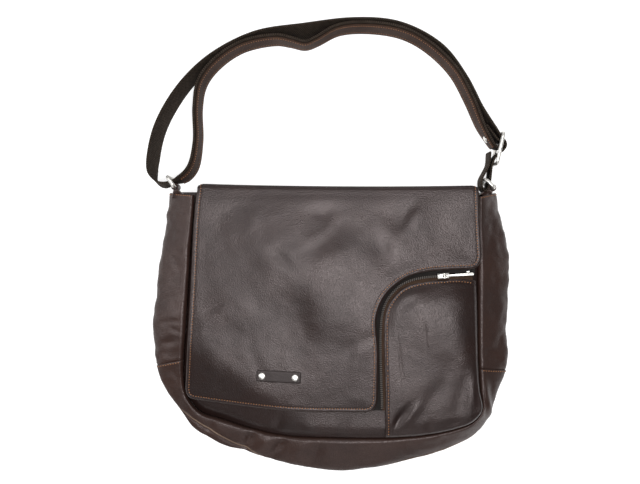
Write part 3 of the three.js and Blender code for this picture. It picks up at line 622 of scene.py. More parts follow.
gussetCreases = [
    (-172, -108, 12, 9, 4, -2.6), (-168, -96, -25, 10, 3, -2.0), (-174, -86, 3, 14, 2, -1.2),
    (-176, -60, 20, 14, 5, -1.0), (-170, -20, 80, 22, 6, -0.9), (-166, -148, -50, 12, 4, -1.4),
    (-158, -176, -40, 10, 4, 1.2), (-132, -205, 62, 12, 5, -1.5), (-87, -217, 64, 13, 4.5, -4.2),
    (-53, -223, 58, 14, 4.5, -4.6), (-70, -220, 60, 13, 6, 1.6), (-30, -226, 58, 13, 6, 1.6),
    (-12, -230, 62, 13, 5, -2.4), (40, -230, 100, 14, 7, -1.0), (90, -222, 105, 12, 5, -1.1),
    (128, -214, 125, 12, 4, -1.2), (177.5, -170, -76, 22, 2.8, 2.0), (172, -172, -76, 22, 3, -1.6),
    (184.5, -171, -80, 20, 3.5, -1.7), (178, -120, 8, 12, 4, -1.3), (184, -60, 80, 24, 6, -0.8),
    (180, -20, 95, 20, 6, 0.8),
]
# seam edge that shows along the bottom: gusset row, turn round the gusset
weltPaths = [
    [(6.9, 1.65), (7.4, 2.25), (8, 2.56), (9, 2.42), (10, 2.05), (10.6, 1.65)],
    [(12.8, 1.7), (14.2, 1.72), (15.8, 1.7)],
]
welt = {
    "half": 0.9, "high": 0.7, "sides": 10, "perSpan": 30, "leastShare": 0.05, "girth": 18, "sunk": 1.5,
    "sunkWidth": 2.4, "below": 0.8, "belowFade": 0.1, "rows": ((6.9, 7.6), (9.8, 10.5)),
}


def gussetSkin(rows, turns):
    seam, bulge, foot = (at(line, rows)[:, None, :] for line in (seamLine, bulgeLine, footLine))
    upper = (turns > math.pi / 2)[None, :]
    end = np.where(upper[..., None], seam, foot)
    endHeight = np.where(upper, frontHeight(seam[..., 0], seam[..., 1]), gusset["foot"])
    spot = end + (bulge - end) * np.sin(turns)[None, :, None]
    height = gusset["bulge"] + (endHeight - gusset["bulge"]) * np.abs(np.cos(turns))
    slack = gusset["slack"] * (np.abs(np.cos(turns)) - 1 + np.sin(turns)) * upper
    height = height - slack * (endHeight - gusset["bulge"])
    reach = np.linalg.norm(bulge - end, axis=2) * np.cos(turns)
    climb = np.abs(gusset["bulge"] - endHeight) * np.sin(turns)
    normal = unit(np.concatenate([unit(bulge - seam) * climb[..., None], -reach[..., None]], axis=2))
    return np.concatenate([spot, height[..., None]], axis=2), normal


def onGrid(grid, i, j):
    a, b = i.astype(int), j.astype(int)
    u, v = (i - a)[:, None], (j - b)[:, None]
    low, high = (grid[row, b] * (1 - v) + grid[row, b + 1] * v for row in (a, a + 1))
    return low * (1 - u) + high * u


def weltPiece(name, spots, ups):
    side = unit(np.cross(unit(np.gradient(spots, axis=0)), ups))
    thin = np.sin(np.linspace(0, math.pi, len(spots)))[:, None] ** 0.5 + welt["leastShare"]
    rings = []
    for turn in roundTurns(welt["sides"]):
        out = side * welt["half"] * math.cos(turn) + ups * welt["high"] * math.sin(turn)
        rings.append(spots + thin * out)
    points = np.stack(rings, axis=1).reshape(-1, 3)
    solidPiece(name, None, "bag_leather", points, tubeFaces(len(spots), welt["sides"]), edgeLeather)


# a gusset between two rows, which may run in under its neighbour at either end
def gussetPiece(name, node, first, last, seed, underStart, underEnd):
    span, isBottom = last - first, node == "gusset_bottom"
    length = runAlong(at(bulgeLine, np.linspace(first, last, 300)))[-1]
    rows = np.linspace(first, last, round(length / gusset["step"]) + 1)
    turns = np.linspace(0, math.pi, gusset["turnSteps"] + 1)
    skin, normal = (each.reshape(-1, 3) for each in gussetSkin(rows, turns))
    row, turn = np.repeat(rows, len(turns)), np.tile(turns, len(rows))
    run, toSeam = (row - first) / span * length, (math.pi - turn) * gusset["girth"]
    puff = pucker["broad"] * ripple(skin, pucker["broadSize"], seed)
    puff = puff + pucker["fine"] * ripple(skin, pucker["fineSize"], seed + 1)
    puff = puff * (pucker["bottomShare"] if isBottom else 1)
    x, y, height = skin.T
    puff = puff + creased(x, y, gussetCreases) * smooth(height, *pucker["creaseHeights"])
    puff = puff * smooth(toSeam, 0, pucker["fade"]) * smooth(turn, 0, pucker["footFade"])
    beside = 1 - between(row, *pucker["belowFlap"])  # deeper beside the flap than below it
    puff = puff - (pucker["dip"] + beside) * bell(toSeam, pucker["dipWidth"])
    joints = ((first > 0, underStart, run), (last < len(gussetRows) - 1, underEnd, length - run))
    for joined, under, away in joints:
        if joined:  # calm where two gussets are sewn together
            puff = puff * smooth(away, 0, pucker["fade"])
        if under:
            puff = puff - pucker["under"] * bell(away, pucker["underWidth"])
    if isBottom:  # sunk beside the seam edge
        off = turn - np.interp(row, *np.array(weltPaths[0]).T)
        sunk = welt["sunk"] * bell(off * welt["girth"], welt["sunkWidth"])
        sunk = sunk + welt["below"] * smooth(-off, 0, welt["belowFade"])
        puff = puff - between(row, *welt["rows"]) * sunk
    outer = skin + normal * puff[:, None]
    outer[:, 2] -= pucker["turnIn"] * bell(toSeam, pucker["turnWidth"])  # turned in along the seam
    wear = gusset["wear"] * bell(np.minimum(run, length - run), gusset["wearWidth"])
    faces = gridFaces(len(rows), len(turns))
    inner = outer - normal * gusset["leather"]
    shell(name, node, outer, inner, faces, sideLeatherPaintedLighter, wear, roundness=gusset["roundness"], rubbed=0)
    for k, path in enumerate(weltPaths if isBottom else []):
        spot, lap = thread(path, welt["perSpan"]).T
        i, j = (spot - first) / span * (len(rows) - 1), lap / math.pi * (len(turns) - 1)
        grids = (each.reshape(len(rows), len(turns), 3) for each in (outer, normal))
        weltPiece(f"seam_edge_{k}", *(onGrid(grid, i, j) for grid in grids))
    lines = []
    hem = gusset["hemIn"] / length
    for under, share in ((underStart, hem), (underEnd, 1 - hem)):
        if not under:
            k = round(share * (len(rows) - 1))
            pick = slice(k * len(turns) + gusset["hemFrom"], (k + 1) * len(turns) - gusset["hemTo"])
            lines.append((outer[pick] + normal[pick] * gusset["threadUp"], normal[pick]))
    return lines


hemLines = gussetPiece("side_gusset_left", "gusset_left", 0, 5.05, 3, False, True)
hemLines += gussetPiece("bottom_gusset", "gusset_bottom", 5, 19, 5, False, False)
hemLines += gussetPiece("side_gusset_right", "gusset_right", 18.95, 24, 9, True, False)
sewnRow("gusset_stitches", "bag_leather", hemLines, seamThread, **bodyStitch)
print("gussets made")


def backPiece():
    back = {
        "leather": 1.8, "reach": 3.2, "spacing": 6, "rows": (0.8, 1.8, 3.5, 6), "rounded": 0.5,
        "roundWidth": 1.2, "wearWidth": 2,
    }
    edge = footLine + unit(footLine - middleSpot) * back["reach"]
    plan, faces, depth = cutSheet(edge, back["spacing"], back["rows"])
    outer = np.column_stack([plan, back["rounded"] * bell(depth, back["roundWidth"])])
    inner = np.column_stack([plan, np.full(len(plan), back["leather"])])
    shell("back_leather", "back_panel", outer, inner, faces, bagLeather, bell(depth, back["wearWidth"]))


def insideSeam(start, end, shares, clear):
    spot = at(seamLine, start + (end - start) * shares)
    return spot + unit(middleSpot - spot) * clear


# four-sided patch between curves that share their corners
def patch(left, right, bottom, top, sides, ups):
    s, t = sides[None, :, None], ups[:, None, None]
    corners = (bottom[0] * (1 - s) + bottom[-1] * s) * (1 - t) + (top[0] * (1 - s) + top[-1] * s) * t
    rows = left[:, None] * (1 - s) + right[:, None] * s
    return (bottom[None] * (1 - t) + top[None] * t + rows - corners).reshape(-1, 2)


def frontPiece():
    seam = {
        "dip": 4, "leftDip": 4, "left": (-150, -60), "width": 4.5, "lowWidth": 2, "low": (-190, -150),
        "calm": (2, 10), "strip": 0.8, "stripDown": (185, 210), "stripAcross": (-100, -30), "roundness": 0.05,
    }
    folds = [(-55, -200, 72, 9, 5, -1.2), (-20, -205, 105, 8, 5, 0.8), (20, -203, 80, 9, 6, -0.8)]
    sides, ups = np.linspace(0, 1, 151), np.linspace(0, 1, 121)
    (first, last), (startRow, endRow) = front["corners"], front["mouth"]
    left = insideSeam(first, startRow, ups, front["clear"])
    right = insideSeam(last, endRow, ups, front["clear"])
    bottom = insideSeam(first, last, sides, front["clear"])
    top = left[-1] + (right[-1] - left[-1]) * sides[:, None]
    plan = patch(left, right, bottom, top, sides, ups)
    x, y = plan.T
    toSeam = farFrom(plan, seamLine)
    height = frontHeight(x, y) + creased(x, y, folds) * smooth(toSeam, *seam["calm"])
    width = seam["width"] + seam["lowWidth"] * (1 - smooth(y, *seam["low"]))
    height = height - (seam["dip"] + seam["leftDip"] * (1 - smooth(x, *seam["left"]))) * bell(toSeam, width)
    height = height + seam["strip"] * smooth(-y, *seam["stripDown"]) * smooth(x, *seam["stripAcross"])
    outer = np.column_stack([plan, height])
    inner = outer - [0, 0, front["leather"]]
    faces = gridFaces(len(ups), len(sides))
    shell("front_leather", "front_panel", outer, inner, faces, bagLeather, roundness=seam["roundness"])


backPiece()
frontPiece()
print("back and front made")


# places on a made surface, by their place in the plan it was made from
def laidOn(line, plan, points, normals, rise=0.2, nearest=8):
    spots, ups = [], []
    for p in line:
        near = np.argpartition(((plan - p) ** 2).sum(1), nearest)[:nearest]
        basis = np.column_stack([plan[near] - p, np.ones(nearest)])
        up = unit(normals[near].mean(0))
        spots.append(np.linalg.lstsq(basis, points[near], rcond=None)[0][2] + up * rise)
        ups.append(up)
    return np.array(spots), np.array(ups)


def insetLine(line, away, pitch=1.5):
    line = evenly(line, pitch)
    return line + rightOf(unit(np.gradient(line, axis=0))) * away


# pocket: a puffed panel inside the zip
fineSpan = 40  # points in a span of the pocket's edge, the zip and the strap
pocketEdge = thread([
    (64, -214), (63.4, -170), (61.8, -105), (62.6, -80), (65.7, -68), (70.6, -59.5), (81, -48.6),
    (94, -42.8), (107, -40.2), (128, -38.4), (145, -37.6), (163.5, -40),
], fineSpan)
pocket = {
    "leather": 2, "edge": 6, "puff": 6, "brace": 4.2, "side": 0.05, "low": 0.1, "stitchIn": 3.2, "clear": 1,
    "rollFrom": 0.66, "roll": 32, "footDip": 4.5, "footWidth": 1.8, "cornerDip": 1.6, "topDip": 2.2,
    "cornerRow": 5, "endRow": 11, "footSeam": 13, "cornerSeam": 16.6, "sideSeam": 21.3, "pinch": 10,
    "gather": 0.1, "braceFrom": (0.5, 1), "rollUp": (0.2, 0.6), "lumps": ((0.4, 38, 12), (0.08, 12, 13)),
    "zipCalm": (4, 14), "seamCalm": (1, 10), "pull": 0.5, "drop": 0.7, "cornerFade": (2, 13),
    "cornerAcross": (90, 125), "topFade": (1, 26), "topAcross": (80, 110), "dipUp": (-120, -70),
    "wearWidth": 1.3, "roundness": 0.1, "rubbed": 0.3, "sewn": slice(3, -4),
}
pocketCreases = [
    (79.6, -127, -83, 30, 1.1, -0.5), (106.5, -99, 96, 17, 1.1, -0.8), (81, -190, 50, 16, 4, -3.0),
    (92, -186, 50, 16, 6, 1.4), (84, -66, 40, 14, 6, -0.8), (131, -143, -80, 18, 8, -0.4),
    (118, -165, 52, 22, 10, -1.0), (158, -170, 84, 22, 6, 1.3), (146, -166, 78, 26, 8, -1.0),
    (138, -198, 15, 16, 4, -1.0), (112, -205, 80, 8, 5, -1.0),
]


def pocketPlan(sides, ups):
    left = at(pocketEdge, pocket["cornerRow"] * ups, fineSpan)
    top = at(pocketEdge, pocket["cornerRow"] + (pocket["endRow"] - pocket["cornerRow"]) * sides, fineSpan)
    right = insideSeam(pocket["cornerSeam"], pocket["sideSeam"], ups, pocket["clear"])
    right = right + (pocketEdge[-1] - right[-1]) * (ups ** pocket["pinch"])[:, None]
    bottom = insideSeam(pocket["footSeam"], pocket["cornerSeam"], sides, pocket["clear"])
    bottom = bottom + (pocketEdge[0] - bottom[0]) * ((1 - sides) ** pocket["pinch"])[:, None]
    return patch(left, right, bottom, top, sides, ups)


def pocketPiece():
    def shoulder(share, width):
        return np.sqrt(1 - (1 - np.minimum(share / width, 1)) ** 2)

    sides, ups = np.linspace(0, 1, 91), np.linspace(0, 1, 141)
    sides = sides - pocket["gather"] * np.sin(fullTurn * sides)  # closer together at the edges
    plan = pocketPlan(sides, ups)
    x, y = plan.T
    across, up = np.tile(sides, len(ups)), np.repeat(ups, len(sides))
    rise = np.maximum(np.sin(math.pi * up**1.8), 0) ** 0.8
    brace = pocket["brace"] * smooth(across, *pocket["braceFrom"])
    crown = rise * (pocket["puff"] * np.sin(math.pi * across**1.2) + brace)
    rolled = pocket["roll"] * np.maximum(across - pocket["rollFrom"], 0) ** 2 * smooth(up, *pocket["rollUp"])
    swell = shoulder(1 - across, pocket["side"]) * shoulder(up, pocket["low"])
    swell = swell * (pocket["edge"] + crown - rolled)
    toZip, toSeam = farFrom(plan, pocketEdge), farFrom(plan, seamLine)
    bend = creased(x, y, pocketCreases)
    for high, size, seed in pocket["lumps"]:
        bend = bend + high * ripple(plan, size, seed)
    bend = bend * smooth(toZip, *pocket["zipCalm"]) * smooth(toSeam, *pocket["seamCalm"])
    height = frontHeight(x, y) + gap + pocket["leather"] + swell + bend
    height = height - pocket["footDip"] * bell(toSeam, pocket["footWidth"])
    height = height + edgeShape(toZip, pocket["stitchIn"], pocket["pull"], pocket["drop"])
    corner = (1 - smooth(toZip, *pocket["cornerFade"])) * (1 - smooth(x, *pocket["cornerAcross"]))
    top = (1 - smooth(toZip, *pocket["topFade"])) * smooth(x, *pocket["topAcross"])
    dip = pocket["cornerDip"] * corner + pocket["topDip"] * top
    outer = np.column_stack([plan, height - dip * smooth(y, *pocket["dipUp"])])
    inner = outer - [0, 0, pocket["leather"]]
    faces, wear = gridFaces(len(ups), len(sides)), bell(toZip, pocket["wearWidth"])
    rim = {"roundness": pocket["roundness"], "rubbed": pocket["rubbed"]}
    shell("pocket_leather", "pocket_panel", outer, inner, faces, bagLeather, wear, **rim)
    normals = skinNormals(outer, faces)
    normals = normals * np.sign(normals[:, 2:].mean())
    return laidOn(insetLine(pocketEdge, pocket["stitchIn"])[pocket["sewn"]], plan, outer, normals)


sewnRow("pocket_stitches", "bag_leather", [pocketPiece()], seamThread, **bodyStitch)
print("pocket made")


# zip along the pocket
zipRows = [
    (60, -182.5), (58.3, -137.5), (57.7, -105), (59, -80.5), (62, -67.5), (67.3, -57.5), (80, -44.5),
    (93, -38.8), (106.3, -36.2), (127.8, -34.4), (145, -33.4), (162, -33.2),
]
zipLine = thread(zipRows, fineSpan)
zipSize = {"height": 5.4, "tape": 1, "tapeStep": 2, "dipFrom": 138, "dipTo": 163, "dip": 0.72}
coil = {
    "first": 0.005, "last": 0.795, "step": 1.6, "sides": 10, "half": 1.05, "tall": 0.5, "middle": 0.55,
    "turnsApart": 0.75, "turnsHeight": 0.8,
}
coilTurn = {"pitch": 2.3, "length": 0.9, "width": 1.5, "height": 1.2, "turn": 0.25}


def travelOn(line, rows, nudge):
    return unit(at(line, rows + nudge, fineSpan) - at(line, rows - nudge, fineSpan))


def zipPlaces(shares, side, height):
    row = shares * (len(zipRows) - 1)
    spot = at(zipLine, row, fineSpan) + rightOf(travelOn(zipLine, row, 0.05)) * side
    stand = 1 - zipSize["dip"] * smooth(spot[:, 0], zipSize["dipFrom"], zipSize["dipTo"])
    level = frontHeight(spot[:, 0], spot[:, 1]) + gap + (height - gap) * stand
    return np.column_stack([spot, level])


def zipShares(first, last, step):
    fine = np.linspace(first, last, 2000)
    run = runAlong(zipPlaces(fine, 0, 5)[:, :2])
    return np.interp(np.linspace(0, run[-1], round(run[-1] / step) + 1), run, fine), run[-1]


# rows across a tape: place beside the zip, height
def tapePiece(name, node, last, rows, material):
    shares, length = zipShares(0, last, zipSize["tapeStep"])
    fine = thread(rows, 6)
    outer = np.stack([zipPlaces(shares, side, high) for side, high in fine], axis=1).reshape(-1, 3)
    run = np.repeat(np.linspace(0, length, len(shares)), len(fine))
    uv = np.column_stack([run, np.tile(fine[:, 0], len(shares))])
    faces = gridFaces(len(shares), len(fine))
    shell(name, node, outer, outer - [0, 0, zipSize["tape"]], faces, material, uv=uv, slot="zip_tape")


def coilPiece():
    shares = zipShares(coil["first"], coil["last"], coil["step"])[0]
    low = zipSize["height"] + gap
    rings = []
    for turn in roundTurns(coil["sides"]):
        height = low + coil["middle"] + coil["tall"] * math.sin(turn)
        rings.append(zipPlaces(shares, coil["half"] * math.cos(turn), height))
    points = np.stack(rings, axis=1).reshape(-1, 3)
    faces = tubeFaces(len(shares), coil["sides"])
    solidPiece("zip_coil_core", "zip_coil", "zip_coil", points, faces, coilCore)
    up = np.tile([0.0, 0.0, 1.0], (len(shares), 1))
    apart, level = coil["turnsApart"], low + coil["turnsHeight"]
    halves = [(zipPlaces(shares, side, level), up) for side in (-apart, apart)]
    # the coil turns take the coil colour with its painted sheen
    sewnRow("zip_coil_turns", "zip_coil", halves, coilPlasticAndSheen, **coilTurn)


# the flap side tape takes the tape weave darkened with painted shadow, the pocket side tape the plain weave
tapePiece("flap_side_tape", "zip_tape_flap", 1, [(-11, 1.4), (-5, 2.4), (-1.8, 4.4), (-0.4, 5.4)], paintedShadowTape)
tapePiece("pocket_side_tape", "zip_tape_pocket", 0.985, [(0.4, 5.4), (4, 5.7), (8, 5.9)], tapeWeave)
coilPiece()
print("zip made")


# flap: cut to its outline in the flat, then laid over the front and turned back over the mouth
flapSides = [
    [(-143, 62), (-146, 32), (-151, -61), (-157.5, -158)],
    [(-146, -172), (-85, -179), (-30, -183.5), (40, -184.5)],
    [
        (54, -168), (54.5, -116), (52.5, -82), (58, -63), (67, -50), (80, -39.5), (93, -33), (110.5, -29),
        (128, -27.5), (156, -26.5),
    ],
    [(168.5, -10.5), (166.5, 27), (165.5, 62)],
]
flapCorners = [(-158.5, -171.5), (54, -184.5), (168.5, -26)]  # rounded, between the sides
flap = {
    "thick": 3, "open": 3, "overZip": 6, "reach": 24, "tailEnd": 139, "spacing": 2.2, "stitchIn": 3.6,
    "easeFrom": 44, "ease": 0.0045, "lowBend": 0.8, "creaseFade": (30, 56), "lumps": 0.7, "lumpSize": 42,
    "seed": 21, "lumpDepth": (4, 16), "lumpFade": (28, 46), "rows": (0.8, 1.7, 2.7, 3.6, 4.6, 6),
    "cornerDrop": 3, "cornerDepth": (-3, 7), "cornerUp": (50, 63), "wearWidth": 1.0,
}
flapStitch = {"pitch": 3.0, "length": 1.4, "width": 1.0, "height": 1.0}
fold = {"y": 63.4, "sag": 3, "middle": 50, "halfWidth": 190, "tailHeight": 4.1}
# rows round the fold: back from it, then down from the front or up from the tail
foldBrow = [(8, 0), (5, 0.35), (2.4, 0.75), (1.2, 1.4), (0.9, 3.2), (0.9, 16)]
foldFoot = [(1.5, 20), (2.2, 10.9), (6.5, 2.5)]
tailRows = (52, 36)  # where the tail lies flat
flapSwell = [(-25, -45, 0, 85, 75, 4.0)]
flapCreases = [
    (-51, -15, -45, 15, 6, -1.2), (-14, 8, 36, 30, 6, 0.5), (-6, 37, 10, 13, 8, -1.5),
    (-22, -79, 101, 39, 60, -1.8), (-84, -107, 95, 14, 6, -0.6), (-74, -140, -60, 16, 6, -0.5),
    (-110, 28, 50, 26, 14, -0.8), (36, -108, 30, 20, 6, -0.8), (30, -130, 75, 24, 8, 1.0),
    (-126, -70, 30, 16, 6, -0.9),
]
flapFolds = [
    (-84, -14, -50, 34, 18, 1.4), (-22, -79, 101, 39, 21, -5.2), (10, 2, 33, 34, 15, -2.2),
    (92, 36, 61, 28, 6.5, -2.0), (66, -2, -63, 20, 8, 1.8), (-100, -90, -35, 20, 9, 0.8),
]


def flapHeight(x, y):
    away = farFrom(np.column_stack([x, y]), zipLine[::8])
    lift = flap["open"] + (flap["overZip"] - flap["open"]) * bell(away, flap["reach"])
    bend = creased(x, y, flapCreases) + creased(x, y, flapFolds, oneSided=True)
    lift = lift + creased(x, y, flapSwell) + bend * (1 - smooth(y, *flap["creaseFade"]))
    lift = lift - flap["ease"] * np.maximum(y - flap["easeFrom"], 0) ** 2  # eases down towards the fold
    return frontHeight(x, y) + 2 * gap + softFloor(lift - 2 * gap, flap["lowBend"]) + flap["thick"] / 2


def flapMiddle(plan):
    x, s = plan[:, 0], plan[:, 1]
    top = fold["y"] + fold["sag"] * ((x - fold["middle"]) / fold["halfWidth"]) ** 2
    brink = top - foldBrow[0][0]
    y = np.minimum(s, brink)
    spots = np.column_stack([x, y, flapHeight(x, y)])
    over = s > brink
    t, brow = top[over], spots[over, 2]
    low = np.full_like(t, fold["tailHeight"])
    rows = [(t - back, brow - down) for back, down in foldBrow]
    rows += [(t - back, low + up) for back, up in foldFoot]
    rows += [(np.full_like(t, row), low) for row in tailRows]
    turn = thread([np.column_stack(row) for row in rows], 8)
    run = runAlong(turn)
    goal = np.clip((s - brink)[over] / (flap["tailEnd"] - brink[over]), 0, 1) * run[-1]
    k = np.clip((run <= goal).sum(0) - 1, 0, len(run) - 2)
    each = np.arange(len(t))
    part = (goal - run[k, each]) / (run[k + 1, each] - run[k, each])
    spots[over, 1:] = turn[k, each] + (turn[k + 1, each] - turn[k, each]) * part[:, None]
    return spots


def flapOutline():
    t = np.linspace(0, 1, 12)[1:-1, None]
    parts = [[(flapSides[0][0][0], flap["tailEnd"])], thread(flapSides[0])]
    for before, after, corner in zip(flapSides, flapSides[1:], flapCorners):
        a, b, c = np.array([before[-1], corner, after[0]])
        parts += [a * (1 - t) ** 2 + 2 * b * t * (1 - t) + c * t**2, thread(after)]
    return np.concatenate(parts + [[(flapSides[-1][-1][0], flap["tailEnd"])]])


def flapPiece():
    seen = flapOutline()
    plan, faces, depth = cutSheet(seen, flap["spacing"], flap["rows"])
    middle = flapMiddle(plan)
    lumps = flap["lumps"] * ripple(plan, flap["lumpSize"], flap["seed"])
    middle[:, 2] += lumps * smooth(depth, *flap["lumpDepth"]) * (1 - smooth(plan[:, 1], *flap["lumpFade"]))
    rounded = (1 - smooth(depth, *flap["cornerDepth"])) * smooth(middle[:, 1], *flap["cornerUp"])
    middle[:, 1] -= flap["cornerDrop"] * rounded  # upper corners
    normals = skinNormals(middle, faces)
    upper, lower = (edgeShape(depth, flap["stitchIn"], *shape) for shape in ((0.4, 0.9), (0.2, 0.6)))
    outer = middle + normals * (flap["thick"] / 2 + upper)[:, None]
    inner = middle - normals * (flap["thick"] / 2 + lower)[:, None]
    piece = shell("flap_leather", "flap", outer, inner, faces, bagLeather, bell(depth, flap["wearWidth"]))
    line = insetLine(seen, -flap["stitchIn"])
    line = line[farFrom(line, evenly(seen, 1)) > flap["stitchIn"] * 0.96]
    return laidOn(line, plan, outer, normals)


sewnRow("flap_stitches", "bag_leather", [flapPiece()], seamThread, **flapStitch)
print("flap made")


# label and its rivets, on the flap
label = {
    "x": -54, "y": -145.3, "turn": -2.9, "length": 48.5, "width": 12.5, "thick": 1.5, "corner": 1.2,
    "sunk": 0.6, "spacing": 1.2, "rows": (0.4, 0.9, 1.6), "drop": 0.45, "dropWidth": 0.7, "wearWidth": 0.6,
    "roundness": 0.15,
}
rivet = {"sides": 24, "radius": 3.8, "height": 1.3, "sunk": 0.4}
# shares of a rivet's radius and height
rivetProfile = [(1, 0), (1, 0.22), (0.96, 0.42), (0.84, 0.66), (0.62, 0.86), (0.34, 0.97)]


def onFlap(x, y):
    return flapHeight(x, y) + flap["thick"] / 2 + gap


def labelPiece():
    half = np.array([label["length"], label["width"]]) / 2 - label["corner"]
    turns = np.linspace(0, math.pi / 2, 5)
    edge = []
    for k, signs in enumerate(((1, 1), (-1, 1), (-1, -1), (1, -1))):
        bow = turns + k * math.pi / 2
        edge.append(half * signs + label["corner"] * np.column_stack([np.cos(bow), np.sin(bow)]))
    plan, faces, depth = cutSheet(np.concatenate(edge), label["spacing"], label["rows"])
    ux, uy = heading(label["turn"])
    x = label["x"] + plan[:, 0] * ux - plan[:, 1] * uy
    y = label["y"] + plan[:, 0] * uy + plan[:, 1] * ux
    base = onFlap(x, y)
    outer = np.column_stack([x, y, base + label["thick"] - label["drop"] * bell(depth, label["dropWidth"])])
    inner = np.column_stack([x, y, base - label["sunk"]])
    wear, roundness = bell(depth, label["wearWidth"]), label["roundness"]
    shell("label_leather", "label_patch", outer, inner, faces, labelLeather, wear, roundness=roundness)


# domed head turned about an axis
def rivetHead(name, node, centre, axis, radius, height):
    sides, axis = rivet["sides"], unit(np.array(axis, float))
    first = unit(np.cross(axis, [0.3, 1, 0.2]))
    turns = roundTurns(sides)[:, None]
    circle = np.cos(turns) * first + np.sin(turns) * np.cross(axis, first)
    rings = [centre + circle * radius * r + axis * height * h for r, h in rivetProfile]
    points = np.concatenate(rings + [[centre + axis * height]])
    last = (len(rivetProfile) - 1) * sides
    faces = tubeFaces(len(rivetProfile), sides)[:-1]  # a fan takes the place of the upper cap
    faces += [(last + j, last + (j + 1) % sides, last + sides) for j in range(sides)]
    solidPiece(name, node, "nickel", points, faces, nickel)


labelPiece()
for hand in ("left", "right"):
    lowCorner, highCorner = (np.array(c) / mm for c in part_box("label_rivet_" + hand))
    centre = (lowCorner + highCorner) / 2
    centre[2] = onFlap(centre[:1], centre[1:2])[0] + label["thick"] - rivet["sunk"]
    size = rivet["radius"], rivet["height"]
    rivetHead("rivet_head_" + hand, "label_rivet_" + hand, centre, (0, 0, 1), *size)
print("label made")


# strap: middle line, lean to the right of travel, height of its lower edge
strapRows = [
    (180.4, 102.5, 0, 4.7), (179.2, 89, 0, 4.7), (174.6, 79.6, 0, 4.7), (171.2, 72.5, 0, 4.7),
    (171.4, 64, 0, 4.7), (175.2, 59.4, 0, 4.7), (178.8, 64.6, 0, 4.7), (180.2, 70, 0, 4.7),
    (181.2, 78, 0, 4.7), (182.8, 89.5, 0, 4.7), (188.6, 100, 0, 4.7), (195.4, 105, 0, 4.7),
    (197.9, 110, 0, 4.7), (197.2, 114.4, 0, 4.7), (193.6, 118.7, 0, 4.7), (190.1, 123.2, 2, 4.7),
    (185, 129.4, 6, 4), (170.3, 150, 11, 2), (152, 185.6, 11, 0.3), (125, 219.8, 12, 0.3),
    (79.5, 243.6, 13, 0.3), (27.5, 248, 13, 0.3), (-26, 239.9, 20, 0.3), (-78, 233.8, 13, 0.3),
    (-125.5, 210.8, 13, 0.3), (-155.7, 184, 14, 0.3), (-177.5, 153.5, 15, 0.3), (-190, 126.5, 15, 0.3),
    (-196, 99.5, 15, 0.3), (-197, 82, 11, 0.5), (-192, 70, -4, 1.5), (-184, 66.6, -7, 3),
    (-173.6, 69.4, -3, 4.7), (-164.5, 73.2, -10, 3.4), (-158, 77.6, -13, 1.8), (-151, 88, -13, 0.3),
    (-146, 117, -10, 0.3), (-146.5, 153.5, -10, 0.3), (-142, 180, -12, 0.3), (-127.5, 201, -13, 0.3),
    (-97.5, 222, -13, 0.3), (-58, 230.4, -12, 0.3), (-41, 227.8, -10, 0.3), (-25, 224.2, -8, 0.3),
    (-13, 228.6, -9, 0.3), (10.5, 241, -12, 0.3), (41, 244.4, -13, 0.3), (84, 238.2, -13, 0.3),
    (113.7, 222.2, -12, 0.3), (142, 194.7, -12, 0.3), (158.7, 164.6, -12, 1.2), (172.2, 132.2, -8, 4),
    (179, 120.2, -4, 4.7), (186, 109.8, -1, 4.7), (190, 107.7, 0, 4.7), (194.2, 108.6, 0, 4.7),
    (195.3, 112, 0, 4.7), (192.8, 114.7, 0, 4.7), (189.2, 116.6, 0, 4.7), (184.4, 122, 1, 4.7),
    (180.2, 126.6, 2, 4.7), (176.6, 132, 2, 4.7),
]
strap = {
    "width": 38, "webbing": 2, "leather": 1.6, "leatherWidth": 28, "from": 33, "to": 53, "offset": 2.2,
    "step": 2.4, "stepTurn": 5, "columns": 15, "edge": 0.3, "edgeWidth": 1.0, "leatherEdge": (2.6, 0.3, 0.4),
    "wearWidth": 1.2, "sewnIn": (0.15, 0.1), "stitchIn": (3.6, 5.6), "stitchSunk": 0.1,
    "rivetRow": 52.1, "rivetUp": 2.8, "rivet": (4.2, 2.0),
}
strapStitch = {"pitch": 2.8, "length": 1.4, "width": 0.85, "height": 0.9}
strapLine, strapPose = (thread([row[k : k + 2] for row in strapRows], fineSpan) for k in (0, 2))


def strapFrames(rows):
    right = rightOf(travelOn(strapLine, rows, 0.02))
    lean, lift = at(strapPose, rows, fineSpan).T
    rise, slope = np.cos(np.radians(lean)), np.sin(np.radians(lean))
    level = lift + strap["width"] / 2 * rise + strap["webbing"] / 2 * np.abs(slope)
    middle = np.column_stack([at(strapLine, rows, fineSpan), level])
    up = np.column_stack([right * slope[:, None], rise])
    face = np.column_stack([right * rise[:, None], -slope])
    return middle, up, face


# rows closer together where the strap turns
def strapSteps(first, last):
    fine = np.linspace(first, last, round((last - first) * fineSpan) + 1)
    step = np.diff(at(strapLine, fine, fineSpan), axis=0)
    angle = np.unwrap(np.arctan2(step[:, 1], step[:, 0]))
    cost = np.linalg.norm(step, axis=1) / strap["step"]
    cost = cost + np.abs(np.gradient(angle)) / math.radians(strap["stepTurn"])
    total = np.concatenate([[0], np.cumsum(cost)])
    return np.interp(np.linspace(0, total[-1], math.ceil(total[-1]) + 1), total, fine)


def ribbon(name, node, slot, material, first, last, width, thick, offset, shape):
    rows = strapSteps(first, last)
    middle, up, face = strapFrames(rows)
    side = np.linspace(-0.5, 0.5, strap["columns"]) * (width - 0.8 * thick)  # the rim makes up the rest
    base = middle[:, None] + up[:, None] * side[None, :, None] + face[:, None] * offset
    depth = width / 2 - np.abs(side)
    outer = base + face[:, None] * (thick / 2 + shape(depth))[None, :, None]
    inner = base - face[:, None] * (thick / 2)
    uv = np.column_stack([np.repeat(runAlong(middle), len(side)), np.tile(side, len(rows))])
    wear = np.tile(bell(depth, strap["wearWidth"]), len(rows))
    outer, inner = outer.reshape(-1, 3), inner.reshape(-1, 3)
    shell(name, node, outer, inner, gridFaces(len(rows), len(side)), material, wear, uv, slot)


